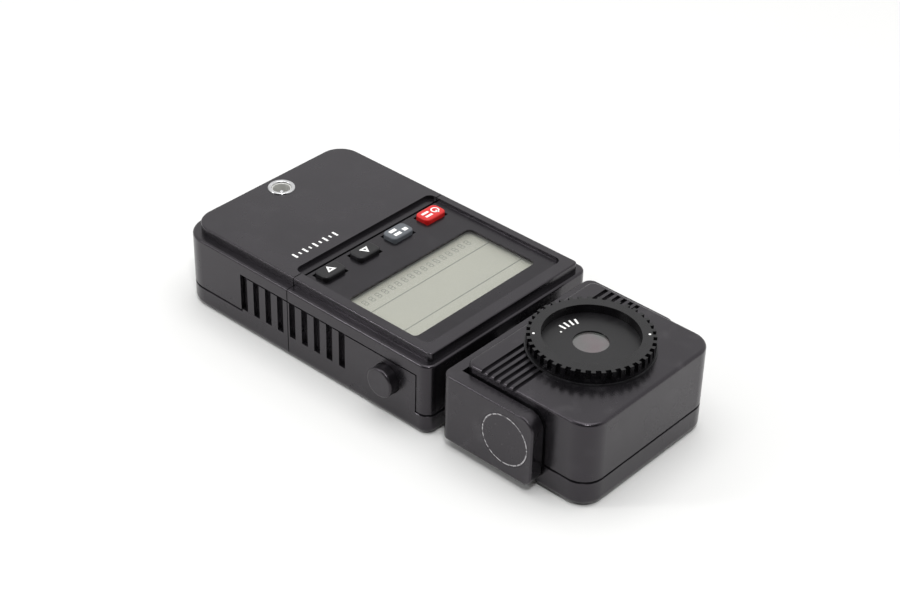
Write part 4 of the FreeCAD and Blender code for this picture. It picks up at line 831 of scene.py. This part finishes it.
SEGMENT = 0.2
DIGIT_WIDTH, DIGIT_HEIGHT = 1.1, 2.0
DIGITS, DIGIT_PITCH, DIGIT_ROW = 17, 2.45, 3.8
segments = [
    (rectangle(0, row * DIGIT_HEIGHT / 2, DIGIT_WIDTH - SEGMENT, SEGMENT), None) for row in (-1, 0, 1)
]
segments += [
    (rectangle(side * DIGIT_WIDTH / 2, row * DIGIT_HEIGHT / 4, SEGMENT, DIGIT_HEIGHT / 2 - SEGMENT), None)
    for side in (-1, 1) for row in (-1, 1)
]
digit = flat_mesh("unlit_digit", segments, 0, SKIN)
digit_row_y = display_low.y / MM + DIGIT_ROW


def in_row(middle_x, y, z, count, pitch, start=0, step=1):
    """Places, in metres, of marks along X on both sides of a middle."""
    first_x = middle_x - (count - 1) / 2 * pitch
    return [(Vector((first_x + i * pitch, y, z)) * MM, 0.0) for i in range(start, count, step)]


digit_places = in_row(centre_x, digit_row_y, FACE + LIFT, DIGITS, DIGIT_PITCH)
repeated("unlit_digits", digit, digit_places, grey_ink, "meter_body")
print("display in mm:", round(span_x, 1), "by", round(depth, 1), "digits:", len(digit_places))

# %% [markdown]
# ### The window
#
# The pane replaces the plain slab of the frame. Its edges are eased, as on a cut and polished
# sheet, and a small air gap stays between it and the display.

# %% window pane
GAP_UNDER, PANE_EASE = 0.15, 0.15
window_middle = (window_low + window_high) / 2 / MM
window_size = (window_high - window_low) / MM
outline = rectangle(window_middle.x, window_middle.y, window_size.x, window_size.y)
bm = bmesh.new()
slab(bm, outline, None, window_low.z / MM + GAP_UNDER, window_high.z / MM)
bmesh.ops.bevel(bm, geom=bm.edges[:], offset=PANE_EASE * MM, segments=2, affect="EDGES")
pane_mesh = bpy.data.meshes.new("window_pane")
bm.to_mesh(pane_mesh)
bm.free()
pane = keep_piece("window_pane", pane_mesh, window_acrylic)
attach(pane, "meter_body")
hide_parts("display_window")
print("window in mm:", [round(v, 1) for v in window_size])

# %% [markdown]
# ## Printed scale on the case and marks on the receptor
#
# A plain scale of long and short ticks is printed in white on the flat of the case. The receptor's
# disc carries four short bars and a dot on an arc, which turn with it.

# %% printed scale
case_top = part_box("lower_front_cover")[1][2] / MM
SCALE_X, SCALE_Y = 13.7, -11.4
SCALE_TICKS, TICK_PITCH = 9, 1.85
LONG_TICK, SHORT_TICK = (0.62, 2.1), (0.5, 1.1)
for name, size, first in (("long", LONG_TICK, 0), ("short", SHORT_TICK, 1)):
    tick = flat_mesh(name + "_tick", [(rectangle(0, 0, *size), None)], 0, INK)
    places = in_row(SCALE_X, SCALE_Y, case_top - ROOT, SCALE_TICKS, TICK_PITCH, first, 2)
    repeated("scale_%s_ticks" % name, tick, places, white_ink, "meter_body")
    print(name, "ticks:", len(places))

# %% [markdown]
# ### Marks on the receptor's disc
#
# Each bar points away from the axis, so it is turned by the angle that it stands at.

# %% receptor marks
disc_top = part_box("receptor_disc")[1][2] / MM
BAR_SIZE, BAR_CIRCLE, BAR_ANGLES = (2.1, 0.55), 9.0, (-117, -108, -98.5, -89)
SPOT_RADIUS, SPOT_CIRCLE, SPOT_ANGLE = 0.28, 8.2, -76
disc_bar = flat_mesh("disc_bar", [(rectangle(0, 0, *BAR_SIZE), None)], 0, INK)
disc_dot = flat_mesh("disc_dot", [(polygon(0, 0, SPOT_RADIUS, 12), None)], 0, INK)
bar_places = [(around(BAR_CIRCLE, a, disc_top - ROOT), math.radians(a)) for a in BAR_ANGLES]
dot_places = [(around(SPOT_CIRCLE, SPOT_ANGLE, disc_top - ROOT), 0.0)]
repeated("disc_bars", disc_bar, bar_places, white_ink, "receptor")
repeated("disc_dots", disc_dot, dot_places, white_ink, "receptor")
print("bars on the disc:", len(bar_places))

# %% [markdown]
# ## Turned pieces
#
# The flash socket's ring and the tripod bush are turned on a lathe, and so are they here: a closed
# profile is carried round an axis in even steps, and only its sharp corners stay sharp.


# %% turning a closed profile
SHARP_ANGLE = math.radians(40)


def turned_piece(name, profile, centre, finish, body, stands_for=None, steps=64):
    """A solid of revolution about +Z; profile is a closed loop of (radius, height) in mm."""
    angles = np.linspace(0, math.tau, steps, endpoint=False)
    points = [
        (centre.x + r * MM * math.cos(a), centre.y + r * MM * math.sin(a), z * MM)
        for a in angles for r, z in profile
    ]
    count = len(profile)
    faces = [
        (i * count + j, i * count + (j + 1) % count,
         ((i + 1) % steps) * count + (j + 1) % count, ((i + 1) % steps) * count + j)
        for i in range(steps) for j in range(count)
    ]
    mesh = bpy.data.meshes.new(name)
    mesh.from_pydata(points, [], faces)
    bm = bmesh.new()
    bm.from_mesh(mesh)
    bmesh.ops.recalc_face_normals(bm, faces=bm.faces)
    bm.to_mesh(mesh)
    bm.free()
    mesh.set_sharp_from_angle(angle=SHARP_ANGLE)
    mesh.polygons.foreach_set("use_smooth", [True] * len(mesh.polygons))
    piece = keep_piece(name, mesh, finish)
    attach(piece, body)
    if stands_for:
        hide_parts(stands_for)
    return piece


# %% [markdown]
# ### Flash socket
#
# The ring has the two rounded lips of a coaxial socket and a flange that holds it under the cover.
# A pale insulating sleeve lines its well.

# %% flash socket ring and sleeve
socket_base, socket_top = (corner[2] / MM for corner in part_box("sync_terminal_ring"))
socket_centre = middle("sync_terminal_pin")
OUTSIDE, WELL, FLANGE = 3.8, 2.7, 1.0
OUTER_LIP, INNER_LIP = 0.28, 0.35
FLANGE_TOP = 20.35
quarter = [(1 - math.cos(t), 1 - math.sin(t)) for t in np.linspace(0, math.pi / 2, 5)]
lip = [(OUTSIDE - OUTER_LIP * a, socket_top - OUTER_LIP * b) for a, b in quarter]
inner_lip = [(WELL + INNER_LIP * a, socket_top - INNER_LIP * b) for a, b in reversed(quarter)]
ring_profile = [
    (OUTSIDE, socket_base), (OUTSIDE, FLANGE_TOP - FLANGE), (OUTSIDE + FLANGE, FLANGE_TOP - FLANGE),
    (OUTSIDE + FLANGE, FLANGE_TOP), (OUTSIDE, FLANGE_TOP), *lip, *inner_lip,
    (WELL, socket_base),
]
turned_piece("flash_socket_ring", ring_profile, socket_centre, nickel, "meter_body", "sync_terminal_ring")

SLEEVE_WALL, SLEEVE_DROP, SLEEVE_LENGTH, SLEEVE_SLOPE = 0.25, 0.5, 3.4, 0.1
SLEEVE_OUTSIDE = WELL - 0.02
SLEEVE_INSIDE = SLEEVE_OUTSIDE - SLEEVE_WALL
sleeve_top = socket_top - SLEEVE_DROP
sleeve_base = sleeve_top - SLEEVE_LENGTH
sleeve_profile = [
    (SLEEVE_OUTSIDE, sleeve_base), (SLEEVE_OUTSIDE, sleeve_top),
    (SLEEVE_INSIDE, sleeve_top - SLEEVE_SLOPE), (SLEEVE_INSIDE, sleeve_base),
]
turned_piece("flash_socket_sleeve", sleeve_profile, socket_centre, pale_plastic, "meter_body")
print("socket from", round(socket_base, 2), "to", round(socket_top, 2), "mm")

# %% [markdown]
# ### Tripod bush
#
# The bush has the ridges of a quarter-inch thread, drawn as rings 1.27 mm apart, a lead-in at its
# mouth and a closed end.

# %% threaded bush
THREAD_CREST, THREAD_ROOT, THREAD_PITCH = 3.175, 3.75, 1.27
BUSH_OUTSIDE, LEAD_IN, CLOSED_END, CHAMFER = 4.95, 0.5, 1.0, 0.25
ON_AXIS = 0.01          # a hole too small to see, which keeps the profile a ring
bush_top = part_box("tripod_bush")[1][2] / MM
thread_end = bush_top - CLOSED_END
thread = [(THREAD_CREST + LEAD_IN, 0.0)]
ridge = LEAD_IN
while ridge + THREAD_PITCH < thread_end:
    thread += [(THREAD_CREST, ridge), (THREAD_ROOT, ridge + THREAD_PITCH / 2)]
    ridge += THREAD_PITCH
thread += [(THREAD_CREST, ridge), (THREAD_CREST, thread_end), (ON_AXIS, thread_end)]
bush_profile = thread + [
    (ON_AXIS, bush_top), (BUSH_OUTSIDE, bush_top), (BUSH_OUTSIDE, CHAMFER), (BUSH_OUTSIDE - CHAMFER, 0.0),
]
turned_piece("tripod_bush_threaded", bush_profile, Vector((0, 0, 0)), brass, "meter_body", "tripod_bush")
print("bush height in mm:", round(bush_top, 2), "profile points:", len(bush_profile))

# %% [markdown]
# ## Screws with cross recesses
#
# The case and the head are each held by small screws from the rear. In the frame each group is one
# piece, so its screws are found as the separate solids of that piece's mesh.


# %% places of the plain screws
def separate_solids(name):
    """Boxes of the loose solids in a frame piece, in metres."""
    bm = bmesh.new()
    bm.from_mesh(nodes[name].data)
    bmesh.ops.remove_doubles(bm, verts=bm.verts, dist=1e-7)
    seen, boxes = set(), []
    for first in bm.verts:
        if first in seen:
            continue
        group, todo = [], [first]
        seen.add(first)
        while todo:
            vert = todo.pop()
            group.append(vert.co.copy())
            for edge in vert.link_edges:
                other = edge.other_vert(vert)
                if other not in seen:
                    seen.add(other)
                    todo.append(other)
        boxes.append((Vector(map(min, zip(*group))), Vector(map(max, zip(*group)))))
    bm.free()
    return boxes


print("screws in the case:", len(separate_solids("case_screws")))

# %% [markdown]
# ### One screw
#
# A screw is a domed head on a plain shank. Its outline is spun round the axis, and a cross of two
# bars is cut out of the head with a boolean. The dome and the cross are shares of the head's size.


# %% one screw
DOME = ((0.55, 0.0), (0.85, 0.12), (1.0, 0.4), (1.0, 1.0))    # shares of head radius and height
CROSS_ARM, CROSS_WIDTH, CROSS_DEPTH = 1.15, 0.2, 0.6          # shares of the same two
SCREW_STEPS = 32


def spun(profile):
    """A closed mesh from an outline of (radius, height) in mm."""
    bm = bmesh.new()
    angles = np.linspace(0, math.tau, SCREW_STEPS, endpoint=False)
    rings = [
        [bm.verts.new(Vector((r * math.cos(a), r * math.sin(a), z)) * MM) for a in angles]
        for r, z in profile
    ]
    for lower, upper in zip(rings, rings[1:]):
        for i in range(SCREW_STEPS):
            j = (i + 1) % SCREW_STEPS
            bm.faces.new((lower[i], lower[j], upper[j], upper[i]))
    bm.faces.new(list(reversed(rings[0])))
    bm.faces.new(rings[-1])
    return bm


def crossed_bars(arm, width, deep):
    """Two bars that cross at the origin; sizes in mm."""
    bm = bmesh.new()
    for size in ((arm, width, deep), (width, arm, deep)):
        made = bmesh.ops.create_cube(bm, size=1.0)
        bmesh.ops.scale(bm, vec=[s * MM for s in size], verts=made["verts"])
    return bm


def screw_mesh(name, head, shank, head_height, length):
    """A screw with its head down at the origin; sizes in mm."""
    dome = [(head * across, head_height * along) for across, along in DOME]
    solids = (
        spun(dome + [(shank, head_height), (shank, length)]),
        crossed_bars(head * CROSS_ARM, head * CROSS_WIDTH, head_height * CROSS_DEPTH),
    )
    objects = []
    for part, bm in zip(("", "_cross"), solids):
        mesh = bpy.data.meshes.new(name + part)
        bm.to_mesh(mesh)
        bm.free()
        objects.append(bpy.data.objects.new(name + part, mesh))
        bpy.context.collection.objects.link(objects[-1])
    cut = objects[0].modifiers.new("recess", "BOOLEAN")
    cut.object = objects[1]
    cut.operation = "DIFFERENCE"
    cut.solver = "EXACT"
    cut.use_self = True
    return baked_mesh(*objects)


# %% [markdown]
# ### All the screws
#
# The node tree repeats the screw at the middle of each plain one. Each stops at its own angle, as
# a driven screw does.

# %% put the screws in
HEAD_HEIGHT = 1.05
STOP_TURN = 0.7
for stand_in, name, head, shank, body in (
    ("case_screws", "case_screws_crosshead", 1.95, 0.93, "meter_body"),
    ("head_screws", "head_screws_crosshead", 1.55, 0.73, "head"),
):
    boxes = separate_solids(stand_in)
    height = (boxes[0][1].z - boxes[0][0].z) / MM
    unit = screw_mesh(name + "_unit", head, shank, HEAD_HEIGHT, height)
    places = [
        (Vector(((low.x + high.x) / 2, (low.y + high.y) / 2, low.z)), STOP_TURN * i)
        for i, (low, high) in enumerate(boxes)
    ]
    piece = repeated(name, unit, places, zinc_steel, body)
    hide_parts(stand_in)
    print(name, "screws:", len(boxes), "length in mm:", round(height, 1))

# %% [markdown]
# ## Floor and light
#
# The floor is a matt white board, bright enough to melt into the backdrop, so that only the soft
# contact shadow shows where the meter stands. White card stands round three sides and above. The
# side that the meter is looked at from is the dark room, which gives rounded edges their dark
# side. One big soft light hangs overhead and two small ones draw the bright lines on the edges.

# %% floor
FLOOR_SIDE = 6.0
FLOOR_Z = -0.05 * MM
floor_mesh = bpy.data.meshes.new("floor")
floor_corners = [(x, y, FLOOR_Z) for x, y in rectangle(0, 0, FLOOR_SIDE, FLOOR_SIDE)]
floor_mesh.from_pydata(floor_corners, [], [(0, 1, 2, 3)])
board, board_tree, board_where = new_material("white_board")
fine_tooth = spots(board_tree, board_where, 2, 0.3, 0.7)
board_roughness = add(board_tree, "MapRange", {"Value": fine_tooth, "To Min": 0.85, "To Max": 0.95})
finish_material(board, add(board_tree, "BsdfPrincipled", {
    "Base Color": colour("#E2E2E1"), "Roughness": board_roughness.outputs["Result"],
    "Specular IOR Level": 0.1,
}))
floor = bpy.data.objects.new("floor", floor_mesh)
floor_mesh.materials.append(board)
bpy.context.collection.objects.link(floor)
floor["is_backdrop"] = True
print("floor in metres:", FLOOR_SIDE)

# %% [markdown]
# ### The white studio and its dark side
#
# The world's brightness depends on the direction: it is full all round, and fades where the
# direction comes near to that of the room.

# %% world
WORLD_LIGHT, ROOM_LIGHT = 0.97, 0.06
ROOM_SIDE = Vector((0.7, 0.66, 0.27))
FADE = (0.3, 0.8)            # closeness to the room's direction where the fade starts and ends
scene = bpy.context.scene
scene.view_settings.view_transform = "Standard"
world = bpy.data.worlds.new("studio")
world.use_nodes = True
background = world.node_tree.nodes["Background"]
background.inputs["Color"].default_value = colour("#FFFFFF")
direction = add(world.node_tree, "TexCoord").outputs["Generated"]
towards_room = add(
    world.node_tree, "VectorMath", {0: direction, 1: ROOM_SIDE}, operation="DOT_PRODUCT",
).outputs["Value"]
dimmed = add(world.node_tree, "MapRange", {
    "Value": towards_room, "From Min": FADE[0], "From Max": FADE[1],
    "To Min": WORLD_LIGHT, "To Max": ROOM_LIGHT,
})
world.node_tree.links.new(dimmed.outputs["Result"], background.inputs["Strength"])
scene.world = world
print("brightness round the studio:", WORLD_LIGHT, "and towards the room:", ROOM_LIGHT)

# %% [markdown]
# ### The three lamps
#
# The overhead lamp is wide, for the soft shadow under the meter. The small ones are far off to the
# right, one on the head's side and one on the battery's.


# %% lamps
def soft_light(name, at, towards, size, watts):
    """A square soft light at a place, aimed at a point."""
    light = bpy.data.lights.new(name, "AREA")
    light.size = size
    light.energy = watts
    lamp = bpy.data.objects.new(name, light)
    lamp.location = at
    lamp.rotation_euler = (Vector(at) - Vector(towards)).to_track_quat("Z", "Y").to_euler()
    bpy.context.collection.objects.link(lamp)
    print(name, "lamp:", watts, "W,", round((Vector(at) - Vector(towards)).length, 2), "m away")


TARGET = (0, 0.02, 0.01)
soft_light("overhead", (0.0, 0.05, 0.9), TARGET, 0.8, 4.2)
soft_light("near_side", (0.35, 0.4, 0.75), TARGET, 0.1, 2.4)
soft_light("right_side", (0.75, -0.6, 0.65), TARGET, 0.12, 2.0)

# %% [markdown]
# ## The two boxes
#
# The box of the frame and the box of the finished object are both printed. The finished object
# has to stay inside the frame's box.

# %% boxes and finish
visual_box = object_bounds()
print("frame box:", [[round(v / MM, 2) for v in c] for c in cad_box])
print("finished box:", [[round(v / MM, 2) for v in c] for c in visual_box])
boxes = {"cad": cad_box, "visual": visual_box}
